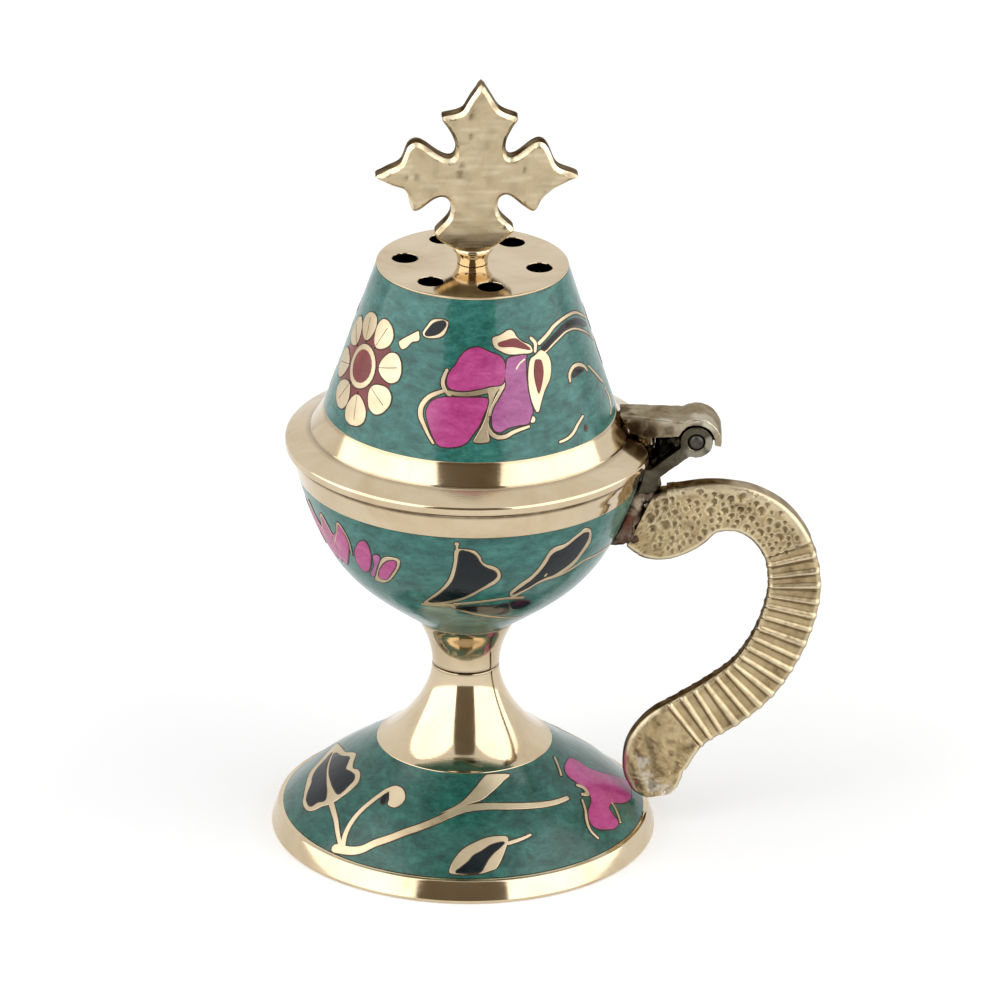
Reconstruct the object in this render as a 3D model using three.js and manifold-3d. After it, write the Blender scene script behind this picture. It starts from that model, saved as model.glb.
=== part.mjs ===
// Enamelled brass hand censer: a footed bowl, a hinged conical lid with smoke holes and a cross
// finial, and a cast scroll handle. Millimetres, +Z up, handle towards +X, cross facing -Y.
import * as THREE from 'three';
import { mergeVertices } from 'three/addons/utils/BufferGeometryUtils.js';
import Module from 'manifold-3d';

const wasm = await Module();
wasm.setup();

// Clearances and cutting
const seatGap = 0.1;        // between turned faces that rest on each other
const castGap = 0.3;        // between a casting and what it is fixed to
const runningGap = 0.1;     // round the pin and the studs
const overrun = 2;          // how far a cut runs past what it cuts

// Enamel, laid in shallow turned recesses
const enamelDepth = 0.8;
const enamelGap = 0.1;

// Foot, turned and hollow underneath
const footRadius = 29.5;
const footBandRise = 3.5;
const footBandTopRadius = 27.8;
const footDomeRise = 10.9;
const footDomeTopRadius = 13.4;
const footTrumpetRise = 12.7;
const footWall = 2.3;
const footSeatWidth = 2.2;
const footCeilingRadius = 7.6;
const neckRadius = 5.15;
const turnedEdge = 0.4;     // small rounded edge on turned rims

// Bowl, turned, with a flared stub that stands on the foot
const bowlStubRise = 7.6;
const bowlStubRadius = 7.5;
const bowlCupRise = 24;
const bowlCupRadius = 26;
const bowlBandRise = 4.1;
const bowlBandFlare = 0.9;
const bowlWall = 1.9;

// Lid, turned, with a flange that sits on the bowl's rim
const lidFlangeEdge = 1.4;
const lidFlangeOverhang = 1;
const lidFlangeRise = 1.4;
const lidFlangeWidth = 3.7;
const lidCoveRise = 3.3;
const lidCoveWidth = 2.1;
const lidConeRise = 22.8;
const lidConeTopRadius = 14.6;
const lidPlateRim = 0.6;
const lidPlateThickness = 1.9;
const lidWall = 1.8;
const lidLipDepth = 1;
const lidLipWidth = 1.4;

// Smoke holes in the lid's plate
const smokeHoleRadius = 1.95;
const smokeHoleInset = 2.45;    // from the plate's edge to a hole's edge
const smokeHoleTurns = [-10, 55, 117, 174, 233, 286];   // degrees, drilled by eye

// Cross finial, one casting with its collar and stud
const crossArm = 15.1;
const crossFootArm = 11.8;
const crossThickness = 3.8;
const crossEdge = 0.5;
const crossTurn = THREE.MathUtils.degToRad(3);    // it stands a little askew on its stud
const collarRise = 2.2;
const collarRadius = 2.9;
const collarWaistRadius = 2.3;
const finialStudRadius = 1.5;
const finialStudLength = 5.2;
const finialNutWidth = 5.5;
const finialNutThickness = 2.2;

// Stud, washer and nut that draw the bowl down on the foot
const stemStudRadius = 2;
const stemStudGrip = 7;
const stemStudTail = 4.6;
const stemWasherRadius = 5;
const stemWasherThickness = 1;
const stemNutWidth = 7;
const stemNutThickness = 3.2;

// Hinge: a forked arm on the bowl, and a strap on the lid that hoods the knuckle
const pinOverhang = 6.35;   // pin's distance out from the flange's edge
const pinRise = 0.75;       // pin's height above the top of the flange's edge
const pinRadius = 1.2;
const hingeWidth = 6.8;
const pinHeadRise = 0.35;
const eyeRadius = 2.5;
const hoodThickness = 1.05;
const hoodEndTurn = THREE.MathUtils.degToRad(-10);
const knuckleWidth = 2.3;
const strapThickness = 2.4;
const strapRootWidthShare = 0.62;
const strapRootInset = 0.6; // how far in from the step the strap's root begins
const armThickness = 1.9;
const armPadThickness = 1.6;
const armLowerOffset = 1.2; // how far the arm's lower face passes below the pin

// Handle: a flat cast scroll from the bowl's side down to the foot's dome
const handleThickness = 4.4;
const handleReach = 24.2;
const handleWidth = 8.1;
const handleRibCount = 20;
const handleRibDepth = 0.5;
const handleSeatShare = 0.677;  // share of the cup's rise where the handle meets the bowl
const handleTipShare = 0.43;    // share of the dome's rise where the handle's tip is centred
const bossRadius = 3.6;
const handleTipReach = 6.2;      // from the dome out to the middle of the tip
const bossReach = 2;

// Fineness of the faceted curves
const turnedSegments = 48;
const holeSegments = 20;
const curveSteps = 5;

// Radii that follow from the sizes above
const bowlRimRadius = bowlCupRadius + bowlBandFlare;
const lidFlangeRadius = bowlRimRadius + lidFlangeOverhang;
const lidStepRadius = lidFlangeRadius - lidFlangeWidth;
const lidCoveRadius = lidStepRadius - lidCoveWidth;
const smokeCircleRadius = lidConeTopRadius - smokeHoleInset - smokeHoleRadius;
const pinReach = lidFlangeRadius + pinOverhang;
const strapRootReach = lidStepRadius - strapRootInset;

// Heights that follow from the sizes above
const domeBaseZ = footBandRise;
const domeTopZ = domeBaseZ + footDomeRise;
const seamZ = domeTopZ + footTrumpetRise;
const stubBaseZ = seamZ + seatGap;
const cupBaseZ = stubBaseZ + bowlStubRise;
const cupTopZ = cupBaseZ + bowlCupRise;
const rimZ = cupTopZ + bowlBandRise;
const flangeZ = rimZ + castGap;
const flangeTopZ = flangeZ + lidFlangeEdge;
const stepZ = flangeTopZ + lidFlangeRise;
const coneBaseZ = stepZ + lidCoveRise;
const coneTopZ = coneBaseZ + lidConeRise;
const plateZ = coneTopZ + lidPlateRim;
const pinZ = flangeTopZ + pinRise;
const ceilingZ = domeTopZ - footWall / 4;
const crossZ = plateZ + seatGap + collarRise + crossFootArm;

// Materials
const brass = { color: 0xc9a878, roughness: 0.28, metalness: 1 };
const castBrass = { color: 0xb59b6c, roughness: 0.5, metalness: 1 };
const enamel = { color: 0x2f7a6b, roughness: 0.18, metalness: 0 };
const steel = { color: 0x55504a, roughness: 0.5, metalness: 1 };

const censer = new THREE.Group();

// Adds one named piece to the censer
function addPiece(name, geometry, finish) {
  const mesh = new THREE.Mesh(geometry, new THREE.MeshStandardMaterial(finish));
  mesh.name = name;
  censer.add(mesh);
}

// Turns a closed three.js geometry into a solid, dropping the collapsed faces at poles
function toSolid(geometry) {
  const bare = geometry.clone();
  bare.deleteAttribute('normal');
  bare.deleteAttribute('uv');
  const welded = mergeVertices(bare);
  const corners = welded.index.array;
  const faces = [];
  for (let i = 0; i < corners.length; i += 3) {
    const [a, b, c] = corners.slice(i, i + 3);
    if (a !== b && b !== c && c !== a) faces.push(a, b, c);
  }
  const vertProperties = new Float32Array(welded.attributes.position.array);
  const solid = new wasm.Manifold(new wasm.Mesh({ numProp: 3, vertProperties, triVerts: new Uint32Array(faces) }));
  return solid.volume() < 0 ? turnInsideOut(vertProperties, faces) : solid;
}

// The same faces wound the other way
function turnInsideOut(vertProperties, faces) {
  const flipped = [];
  for (let i = 0; i < faces.length; i += 3) flipped.push(faces[i], faces[i + 2], faces[i + 1]);
  return new wasm.Manifold(new wasm.Mesh({ numProp: 3, vertProperties, triVerts: new Uint32Array(flipped) }));
}

// A solid's faces as a three.js geometry
function toGeometry(solid) {
  const mesh = solid.getMesh();
  const geometry = new THREE.BufferGeometry();
  geometry.setAttribute('position', new THREE.BufferAttribute(new Float32Array(mesh.vertProperties), 3));
  geometry.setIndex(new THREE.BufferAttribute(new Uint32Array(mesh.triVerts), 1));
  geometry.computeVertexNormals();
  return geometry;
}

// A smooth stretch of outline between two points; the shares say how far each end's handle
// runs along the stretch's own width and height
function sweep(from, to, shares, steps = curveSteps) {
  const across = to.x - from.x;
  const up = to.y - from.y;
  const [fromAcross, fromUp, toAcross, toUp] = shares;
  const leave = new THREE.Vector2(from.x + across * fromAcross, from.y + up * fromUp);
  const arrive = new THREE.Vector2(to.x - across * toAcross, to.y - up * toUp);
  return new THREE.CubicBezierCurve(from, leave, arrive, to).getPoints(steps);
}

// An open outline moved sideways, to its right when depth is positive
function offset(points, depth) {
  return points.map((point, i) => {
    const before = points[Math.max(i - 1, 0)];
    const after = points[Math.min(i + 1, points.length - 1)];
    const along = after.clone().sub(before).normalize();
    return new THREE.Vector2(point.x + along.y * depth, point.y - along.x * depth);
  });
}

// An open outline shortened at both ends
function trim(points, length) {
  const last = points.length - 1;
  const start = points[1].clone().sub(points[0]).setLength(length).add(points[0]);
  const end = points[last - 1].clone().sub(points[last]).setLength(length).add(points[last]);
  return [start, ...points.slice(1, last), end];
}

const at = (x, y) => new THREE.Vector2(x, y);

// A profile of radius and height, turned about Z. A ring's profile is closed on itself.
function turn(profile, isRing, segments = turnedSegments) {
  const points = isRing ? [...profile, profile[0].clone()] : profile;
  return toSolid(new THREE.LatheGeometry(points, segments).rotateX(Math.PI / 2));
}

// A drill or rod: a cylinder from the floor z upwards
function rod(radius, length, x, y, z, segments = holeSegments) {
  const shape = new THREE.CylinderGeometry(radius, radius, length, segments);
  return toSolid(shape.rotateX(Math.PI / 2).translate(x, y, z + length / 2));
}

// A cylinder along Y, centred on the plane of the handle
function crossRod(radius, length, x, z, segments = holeSegments) {
  return toSolid(new THREE.CylinderGeometry(radius, radius, length, segments).translate(x, 0, z));
}

// An outline in the handle's XZ plane, given a width along Y and centred there
function slab(outline, width, bevel = 0) {
  const shape = new THREE.Shape(outline);
  const options = {
    depth: width - 2 * bevel,
    bevelEnabled: bevel > 0,
    bevelThickness: bevel,
    bevelSize: bevel,
    bevelOffset: -bevel,
    bevelSegments: 1,
  };
  const block = new THREE.ExtrudeGeometry(shape, options).translate(0, 0, bevel - width / 2);
  return block.rotateX(Math.PI / 2);
}

// Points on an arc in the XZ plane
function arc(radius, x, z, fromTurn, toTurn, steps) {
  return Array.from({ length: steps + 1 }, (_, i) => {
    const angle = fromTurn + (toTurn - fromTurn) * (i / steps);
    return at(x + radius * Math.cos(angle), z + radius * Math.sin(angle));
  });
}

// Radius of an outline at a height
function radiusAt(points, z) {
  for (let i = 1; i < points.length; i += 1) {
    const [a, b] = [points[i - 1], points[i]];
    if (z <= b.y) return a.x + (b.x - a.x) * ((z - a.y) / (b.y - a.y));
  }
  return points[points.length - 1].x;
}

// Outlines of the enamelled stretches
const domeOutline = sweep(
  at(footBandTopRadius, domeBaseZ), at(footDomeTopRadius, domeTopZ), [0.476, 0.596, 0.35, 0.383]);
const cupOutline = sweep(
  at(bowlStubRadius, cupBaseZ), at(bowlCupRadius, cupTopZ), [0.58, 0.32, 0.24, 0.6], curveSteps + 3);
const coneOutline = [at(lidCoveRadius, coneBaseZ), at(lidConeTopRadius, coneTopZ)];

// Foot: flat resting ring, brass band, recess for the enamel, trumpet stem, bore for the stud
function makeFoot() {
  const boreRadius = stemStudRadius + runningGap;
  const trumpet = sweep(
    at(footDomeTopRadius, domeTopZ), at(neckRadius, seamZ), [0.28, 0.06, 0, 0.44]);
  const ceiling = offset(domeOutline, -footWall).filter(
    (point) => point.x > footCeilingRadius && point.y < ceilingZ - turnedEdge);
  return turn([
    at(footRadius - footSeatWidth, 0),
    at(footRadius - turnedEdge / 2, 0),
    at(footRadius, turnedEdge),
    at(footRadius - turnedEdge, footBandRise / 2),
    ...[domeOutline[0], ...offset(domeOutline, -enamelDepth), domeOutline[domeOutline.length - 1]],
    ...trumpet.slice(1),
    at(boreRadius, seamZ),
    at(boreRadius, ceilingZ),
    at(footCeilingRadius, ceilingZ),
    ...ceiling.reverse(),
  ], true);
}

// Enamel laid in a recess: its face is flush with the brass
function makeEnamel(outline) {
  const face = trim(outline, enamelGap);
  const back = offset(face, -(enamelDepth - enamelGap));
  return turn([...face, ...back.reverse()], true);
}

// Bowl: stub with a blind bore, recess for the enamel, plain band, rim, and the hollow inside
function makeBowl() {
  const boreRadius = stemStudRadius + runningGap;
  const boreTopZ = stubBaseZ + stemStudGrip + seatGap;
  const stub = sweep(
    at(neckRadius, stubBaseZ), at(bowlStubRadius, cupBaseZ), [0.04, 0.5, 0.23, 0.2], curveSteps - 2);
  const lining = offset(cupOutline, -bowlWall).filter((point) => point.y > boreTopZ + bowlWall);
  return turn([
    at(0, boreTopZ),
    at(boreRadius, boreTopZ),
    at(boreRadius, stubBaseZ),
    ...stub.slice(0, -1),
    ...[cupOutline[0], ...offset(cupOutline, -enamelDepth), cupOutline[cupOutline.length - 1]],
    at(bowlRimRadius, rimZ - turnedEdge / 2),
    at(bowlRimRadius - turnedEdge / 2, rimZ),
    at(bowlRimRadius - bowlWall, rimZ),
    ...lining.reverse(),
    at(0, boreTopZ + bowlWall),
  ], false);
}

// Lid: plate, rim, recess for the enamel, cove, sloping flange, locating lip, hollow inside
function makeLid() {
  const boreRadius = finialStudRadius + runningGap;
  const lipRadius = bowlRimRadius - bowlWall - castGap;
  const cove = sweep(at(lidCoveRadius, coneBaseZ), at(lidStepRadius, stepZ), [0.1, 0.5, 0.3, 0.1], 4);
  const insideTop = at(lidConeTopRadius - lidWall, plateZ - lidPlateThickness);
  const insideFoot = at(lidCoveRadius - lidWall, coneBaseZ);
  let lid = turn([
    at(boreRadius, plateZ),
    at(lidConeTopRadius - turnedEdge, plateZ),
    at(lidConeTopRadius, plateZ - turnedEdge),
    ...[coneOutline[1], ...offset(coneOutline, -enamelDepth).reverse(), coneOutline[0]],
    ...cove.slice(1),
    at(lidFlangeRadius - turnedEdge, flangeTopZ),
    at(lidFlangeRadius, flangeTopZ - turnedEdge),
    at(lidFlangeRadius, flangeZ),
    at(lipRadius, flangeZ),
    at(lipRadius, flangeZ - lidLipDepth),
    at(lipRadius - lidLipWidth, flangeZ - lidLipDepth),
    at(lidStepRadius - lidWall, stepZ),
    insideFoot,
    insideTop,
    at(boreRadius, insideTop.y),
  ], true);
  const drillLength = lidPlateThickness + 2 * overrun;
  for (const turnDegrees of smokeHoleTurns) {
    const angle = THREE.MathUtils.degToRad(turnDegrees);
    const x = smokeCircleRadius * Math.cos(angle);
    const y = smokeCircleRadius * Math.sin(angle);
    lid = lid.subtract(rod(smokeHoleRadius, drillLength, x, y, insideTop.y - overrun));
  }
  return lid;
}

// One arm of the cross, from its right-hand root to its left-hand root, as shares of the arm
const armShares = [
  [0.252, 0.228], [0.213, 0.345], [0.27, 0.45], [0.385, 0.615], [0.145, 0.75], [0.088, 0.86], [0, 1],
];
// The lower arm's right side, which ends in a round foot on the collar
const footArmShares = [[0.252, 0.228], [0.238, 0.325], [0.27, 0.424], [0.334, 0.51], [0.391, 0.58]];

const footRoundShare = { across: 0.63, out: 0.91 };

// Outline of the cross: three pointed arms and the round-footed lower arm
function crossOutline() {
  const mirrored = (shares) => shares.map(([across, out]) => [-across, out]);
  const pointed = [...armShares, ...mirrored(armShares.slice(0, -1)).reverse()];
  const place = (shares, quarter) => shares.map(([across, out]) => {
    const point = at(across * crossArm, out * crossArm);
    return point.rotateAround(at(0, 0), quarter * Math.PI / 2).add(at(0, crossZ));
  });
  const shoulder = footArmShares[footArmShares.length - 1];
  const side = place(footArmShares, 2);
  const corner = at(shoulder[0] * crossArm, crossZ - shoulder[1] * crossArm);
  const round = new THREE.SplineCurve([
    at(-corner.x, corner.y),
    at(-corner.x * footRoundShare.across, crossZ - crossFootArm * footRoundShare.out),
    at(0, crossZ - crossFootArm),
    at(corner.x * footRoundShare.across, crossZ - crossFootArm * footRoundShare.out),
    corner,
  ]).getPoints(curveSteps + 2).slice(1, -1);
  const leftSide = side.map((point) => at(point.x, point.y));
  const rightSide = leftSide.map((point) => at(-point.x, point.y)).reverse();
  return [...place(pointed, 0), ...place(pointed, 1), ...leftSide, ...round, ...rightSide, ...place(pointed, 3)];
}

// Cross finial: cast cross, waisted collar and the stud below it
function makeFinial() {
  const cross = toSolid(slab(crossOutline(), crossThickness, crossEdge).rotateZ(crossTurn));
  const collarZ = plateZ + seatGap;
  const collarTopZ = collarZ + collarRise;
  const collar = turn([
    at(0, plateZ - finialStudLength),
    at(finialStudRadius, plateZ - finialStudLength),
    at(finialStudRadius, collarZ),
    at(collarRadius, collarZ),
    at(collarRadius, collarZ + turnedEdge),
    at(collarWaistRadius, collarZ + collarRise / 2),
    at(collarRadius - turnedEdge, collarTopZ),
    at(collarWaistRadius - turnedEdge, collarTopZ + 2 * turnedEdge),
    at(0, collarTopZ + 2 * turnedEdge),
  ], false, holeSegments);
  return cross.add(collar);
}

// A hexagon nut hanging down from the height z
function makeNut(width, thickness, studRadius, z) {
  const cornerRadius = width / Math.sqrt(3);
  const body = rod(cornerRadius, thickness, 0, 0, z - thickness, 6);
  const bore = rod(studRadius + runningGap, thickness + 2 * overrun, 0, 0, z - thickness - overrun);
  return body.subtract(bore);
}

// Stud from the bowl's blind bore down through the foot
function makeStemStud() {
  const bottomZ = ceilingZ - stemWasherThickness - stemNutThickness - stemStudTail / 2;
  return rod(stemStudRadius, stubBaseZ + stemStudGrip - bottomZ, 0, 0, bottomZ);
}

function makeStemWasher() {
  const z = ceilingZ - seatGap - stemWasherThickness;
  const bore = rod(stemStudRadius + runningGap, stemWasherThickness + 2 * overrun, 0, 0, z - overrun);
  return rod(stemWasherRadius, stemWasherThickness, 0, 0, z, holeSegments + 4).subtract(bore);
}

// The bowl's and the lid's outer forms grown by the casting gap, to cut what is brazed to them
const bowlBlank = () => turn([
  at(0, cupBaseZ),
  ...offset(cupOutline, castGap),
  at(bowlRimRadius + castGap, rimZ),
  at(bowlRimRadius + castGap, rimZ + castGap),
  at(0, rimZ + castGap),
], false);
const lidBlank = () => turn([
  at(0, flangeZ - castGap),
  at(lidFlangeRadius + castGap, flangeZ - castGap),
  at(lidFlangeRadius + castGap, flangeTopZ + castGap),
  at(lidStepRadius + castGap, stepZ + castGap),
  at(lidCoveRadius + castGap, coneBaseZ + castGap),
  at(lidConeTopRadius + castGap, coneTopZ),
  at(0, coneTopZ),
], false);

// Lid strap: a waisted bar from the lid's cove to a hood over the knuckle, with the middle
// knuckle under the hood
function makeStrap() {
  const innerRadius = eyeRadius + castGap;
  const outerRadius = innerRadius + hoodThickness;
  const strapTopZ = pinZ + outerRadius - strapThickness / 4;
  const strapFootZ = strapTopZ - strapThickness;
  const leftTurn = Math.PI - Math.asin((strapFootZ - pinZ) / innerRadius);
  const topTurn = Math.PI - Math.asin((strapTopZ - pinZ) / outerRadius);
  const outline = [
    ...arc(outerRadius, pinReach, pinZ, hoodEndTurn, topTurn, curveSteps + 4),
    at(strapRootReach, strapTopZ + strapThickness / 4),
    at(lidCoveRadius - lidWall, strapTopZ + strapThickness / 4),
    at(lidCoveRadius - lidWall, stepZ),
    at(lidFlangeRadius - hoodThickness, flangeTopZ),
    at(lidFlangeRadius - hoodThickness, strapFootZ - strapThickness / 4),
    ...arc(innerRadius, pinReach, pinZ, leftTurn, hoodEndTurn, curveSteps + 4),
  ];
  const strap = slab(outline, hingeWidth);
  const positions = strap.attributes.position;
  for (let i = 0; i < positions.count; i += 1) {
    const share = THREE.MathUtils.smoothstep(positions.getX(i), strapRootReach, pinReach - outerRadius);
    const narrowing = THREE.MathUtils.lerp(strapRootWidthShare, 1, share);
    positions.setY(i, positions.getY(i) * narrowing);
  }
  const knuckle = toSolid(slab([
    ...arc(innerRadius + hoodThickness / 2, pinReach, pinZ, hoodEndTurn, leftTurn, curveSteps + 4),
    ...arc(eyeRadius, pinReach, pinZ, leftTurn, 2 * Math.PI + hoodEndTurn, curveSteps + 4),
  ], knuckleWidth));
  const bore = crossRod(pinRadius + runningGap, hingeWidth, pinReach, pinZ);
  return toSolid(strap).add(knuckle).subtract(bore).subtract(lidBlank());
}

// Bowl arm: a pad on the bowl's band, a sloping bar, and a fork of two eyes round the knuckle
function makeArm() {
  const innerRadius = eyeRadius + castGap;
  const padX = bowlCupRadius - armPadThickness;
  const barFootZ = cupTopZ - bowlBandRise / 3;
  const slope = at(padX, barFootZ).sub(at(pinReach, pinZ)).normalize();
  const down = at(-slope.y, slope.x);
  const lower = down.clone().multiplyScalar(armLowerOffset).add(at(pinReach, pinZ));
  const upper = down.clone().multiplyScalar(armLowerOffset - armThickness).add(at(pinReach, pinZ));
  const length = pinReach - padX + overrun;
  const padOuterX = bowlRimRadius + armPadThickness;
  const padTopZ = cupTopZ + bowlBandRise / 2;
  const padFootZ = handleTopZ(padOuterX - armPadThickness / 2) + castGap;
  const bar = toSolid(slab([
    lower,
    lower.clone().addScaledVector(slope, length),
    upper.clone().addScaledVector(slope, length),
    upper,
  ], hingeWidth));
  const pad = toSolid(slab([
    at(padX, padFootZ),
    at(padOuterX - armPadThickness / 2, padFootZ),
    at(padOuterX, padFootZ + armPadThickness / 3),
    at(padOuterX, padTopZ),
    at(padX, padTopZ),
  ], hingeWidth));
  const eyes = crossRod(eyeRadius, hingeWidth, pinReach, pinZ);
  const slot = crossRod(innerRadius + hoodThickness / 2 + castGap, knuckleWidth + 2 * castGap, pinReach, pinZ);
  const bore = crossRod(pinRadius + runningGap, hingeWidth + 2 * overrun, pinReach, pinZ);
  return bar.add(pad).add(eyes).subtract(slot).subtract(bore).subtract(bowlBlank());
}

// Hinge pin with peened ends
function makePin() {
  const half = hingeWidth / 2;
  const profile = [
    at(0, -half - pinHeadRise),
    at(pinRadius - turnedEdge, -half - pinHeadRise),
    at(pinRadius, -half),
    at(pinRadius, half),
    at(pinRadius - turnedEdge, half + pinHeadRise),
    at(0, half + pinHeadRise),
  ];
  const pin = new THREE.LatheGeometry(profile, holeSegments);
  return toSolid(pin.translate(pinReach, 0, pinZ));
}

// The handle's centre line. Each row: how far it stands out from a line between the tip and the
// seat, as a share of the reach; its height as a share of the way from the tip up to the seat;
// and its half width as a share of the handle's width.
const scrollShares = [
  [0.002, 1.0, 0.444], [0.06, 1.001, 0.58], [0.156, 1.011, 0.654], [0.295, 1.029, 0.636],
  [0.456, 1.057, 0.543], [0.587, 1.064, 0.496], [0.723, 1.05, 0.479], [0.861, 0.999, 0.488],
  [0.957, 0.91, 0.494], [0.99, 0.791, 0.519], [0.963, 0.684, 0.525], [0.866, 0.542, 0.528],
  [0.707, 0.406, 0.543], [0.504, 0.308, 0.568], [0.295, 0.234, 0.568], [0.155, 0.173, 0.642],
  [0.068, 0.11, 0.679], [0.019, 0.052, 0.63], [0.007, -0.002, 0.531], [0.01, -0.039, 0.407],
  [0.024, -0.063, 0.247],
];
const ribStartShare = 0.35;
const ribEndShare = 0.78;

// The handle's flat seat, which stands off the bowl's side
function handleSeat() {
  const z = cupBaseZ + handleSeatShare * bowlCupRise;
  return at(radiusAt(cupOutline, z) + bossReach, z);
}

// Centre line with the half width carried as the third coordinate
function scrollCurve() {
  const seat = handleSeat();
  const tipZ = domeBaseZ + handleTipShare * footDomeRise;
  const tip = at(radiusAt(domeOutline, tipZ) + handleTipReach, tipZ);
  const points = scrollShares.map(([outward, height, half]) => {
    const spot = tip.clone().lerp(seat, height);
    return new THREE.Vector3(spot.x + outward * handleReach, spot.y, half * handleWidth);
  });
  return new THREE.CatmullRomCurve3(points);
}

// Unit direction across the centre line, towards the outside of the bend
const acrossFrom = (tangent) => at(-tangent.y, tangent.x).normalize();

// Height of the handle's upper edge, from its seat out to a distance from the turned axis
function handleTopZ(distance) {
  const curve = scrollCurve();
  const steps = scrollShares.length * curveSteps;
  let top = 0;
  for (let i = 0; i <= steps; i += 1) {
    const station = curve.getPoint(i / steps);
    const across = acrossFrom(curve.getTangent(i / steps));
    if (station.x + across.x * station.z <= distance) top = Math.max(top, station.y + across.y * station.z);
  }
  return top;
}

// How deep the surface is cut between ribs at a share of the handle's length
function ribCut(share) {
  if (share < ribStartShare || share > ribEndShare) return 0;
  const turns = handleRibCount * (share - ribStartShare) / (ribEndShare - ribStartShare);
  return handleRibDepth * (1 - Math.cos(2 * Math.PI * turns)) / 2;
}

// Handle: rounded-square sections lofted along the centre line, ribbed across the outer bend
function makeHandle() {
  const curve = scrollCurve();
  const sides = 12;
  const plainSteps = curveSteps + 4;
  const shares = [];
  for (let i = 0; i < plainSteps; i += 1) shares.push(ribStartShare * i / plainSteps);
  for (let i = 0; i < handleRibCount * 4; i += 1) {
    shares.push(THREE.MathUtils.lerp(ribStartShare, ribEndShare, i / (handleRibCount * 4)));
  }
  for (let i = 0; i <= plainSteps; i += 1) {
    shares.push(THREE.MathUtils.lerp(ribEndShare, 1, i / plainSteps));
  }
  const rounded = (value) => Math.sign(value) * Math.sqrt(Math.abs(value));
  const positions = [];
  const addPoint = (point) => positions.push(point.x, point.y, point.z);
  for (const share of shares) {
    const station = curve.getPointAt(share);
    const tangent = curve.getTangentAt(share);
    const across = acrossFrom(tangent);
    const half = station.z - ribCut(share);
    const halfThickness = handleThickness / 2 - ribCut(share);
    for (let side = 0; side < sides; side += 1) {
      const angle = 2 * Math.PI * (side + 0.5) / sides;
      const reach = half * rounded(Math.cos(angle));
      const y = halfThickness * rounded(Math.sin(angle));
      addPoint(new THREE.Vector3(station.x + across.x * reach, y, station.y + across.y * reach));
    }
  }
  const first = curve.getPointAt(0);
  const last = curve.getPointAt(1);
  addPoint(new THREE.Vector3(first.x, 0, first.y));
  addPoint(new THREE.Vector3(last.x, 0, last.y));
  const startCap = shares.length * sides;
  const faces = [];
  for (let side = 0; side < sides; side += 1) {
    const next = (side + 1) % sides;
    for (let ring = 0; ring < shares.length - 1; ring += 1) {
      const [a, b] = [ring * sides + side, ring * sides + next];
      faces.push(a, b, b + sides, a, b + sides, a + sides);
    }
    const lastRing = (shares.length - 1) * sides;
    faces.push(startCap, next, side, startCap + 1, lastRing + side, lastRing + next);
  }
  const geometry = new THREE.BufferGeometry();
  geometry.setAttribute('position', new THREE.Float32BufferAttribute(positions, 3));
  geometry.setIndex(faces);
  const seat = handleSeat();
  const cut = toSolid(new THREE.BoxGeometry(2 * handleWidth, 2 * handleThickness, 2 * handleWidth)
    .translate(seat.x - handleWidth, 0, seat.y));
  return toSolid(geometry).subtract(cut);
}

// Boss: the short brazed stub that joins the handle's seat to the bowl
function makeBoss() {
  const seat = handleSeat();
  const length = bossReach + bowlWall + bossRadius;
  const stub = new THREE.CylinderGeometry(bossRadius, bossRadius, length, holeSegments);
  stub.rotateZ(Math.PI / 2).scale(1, handleThickness / (2 * bossRadius), 1);
  stub.translate(seat.x - castGap - length / 2, 0, seat.y);
  return toSolid(stub).subtract(bowlBlank());
}

addPiece('foot', toGeometry(makeFoot()), brass);
addPiece('foot_enamel', toGeometry(makeEnamel(domeOutline)), enamel);
addPiece('bowl', toGeometry(makeBowl()), brass);
addPiece('bowl_enamel', toGeometry(makeEnamel(cupOutline)), enamel);
addPiece('lid', toGeometry(makeLid()), brass);
addPiece('lid_enamel', toGeometry(makeEnamel(coneOutline)), enamel);
addPiece('cross_finial', toGeometry(makeFinial()), castBrass);
addPiece('finial_nut', toGeometry(makeNut(
  finialNutWidth, finialNutThickness, finialStudRadius, plateZ - lidPlateThickness - seatGap)), brass);
addPiece('lid_hinge_strap', toGeometry(makeStrap()), castBrass);
addPiece('bowl_hinge_arm', toGeometry(makeArm()), castBrass);
addPiece('hinge_pin', toGeometry(makePin()), steel);
addPiece('handle', toGeometry(makeHandle()), castBrass);
addPiece('handle_boss', toGeometry(makeBoss()), castBrass);
addPiece('stem_stud', toGeometry(makeStemStud()), steel);
addPiece('stem_washer', toGeometry(makeStemWasher()), brass);
addPiece('stem_nut', toGeometry(makeNut(
  stemNutWidth, stemNutThickness, stemStudRadius, ceilingZ - 2 * seatGap - stemWasherThickness)), brass);

// The origin is under the middle of the whole censer, handle included
const reach = new THREE.Box3().setFromObject(censer);
censer.position.x = -(reach.min.x + reach.max.x) / 2;

export default censer;
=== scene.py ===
import math
import random
import bmesh
import bpy
from mathutils import Matrix, Vector, noise


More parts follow.
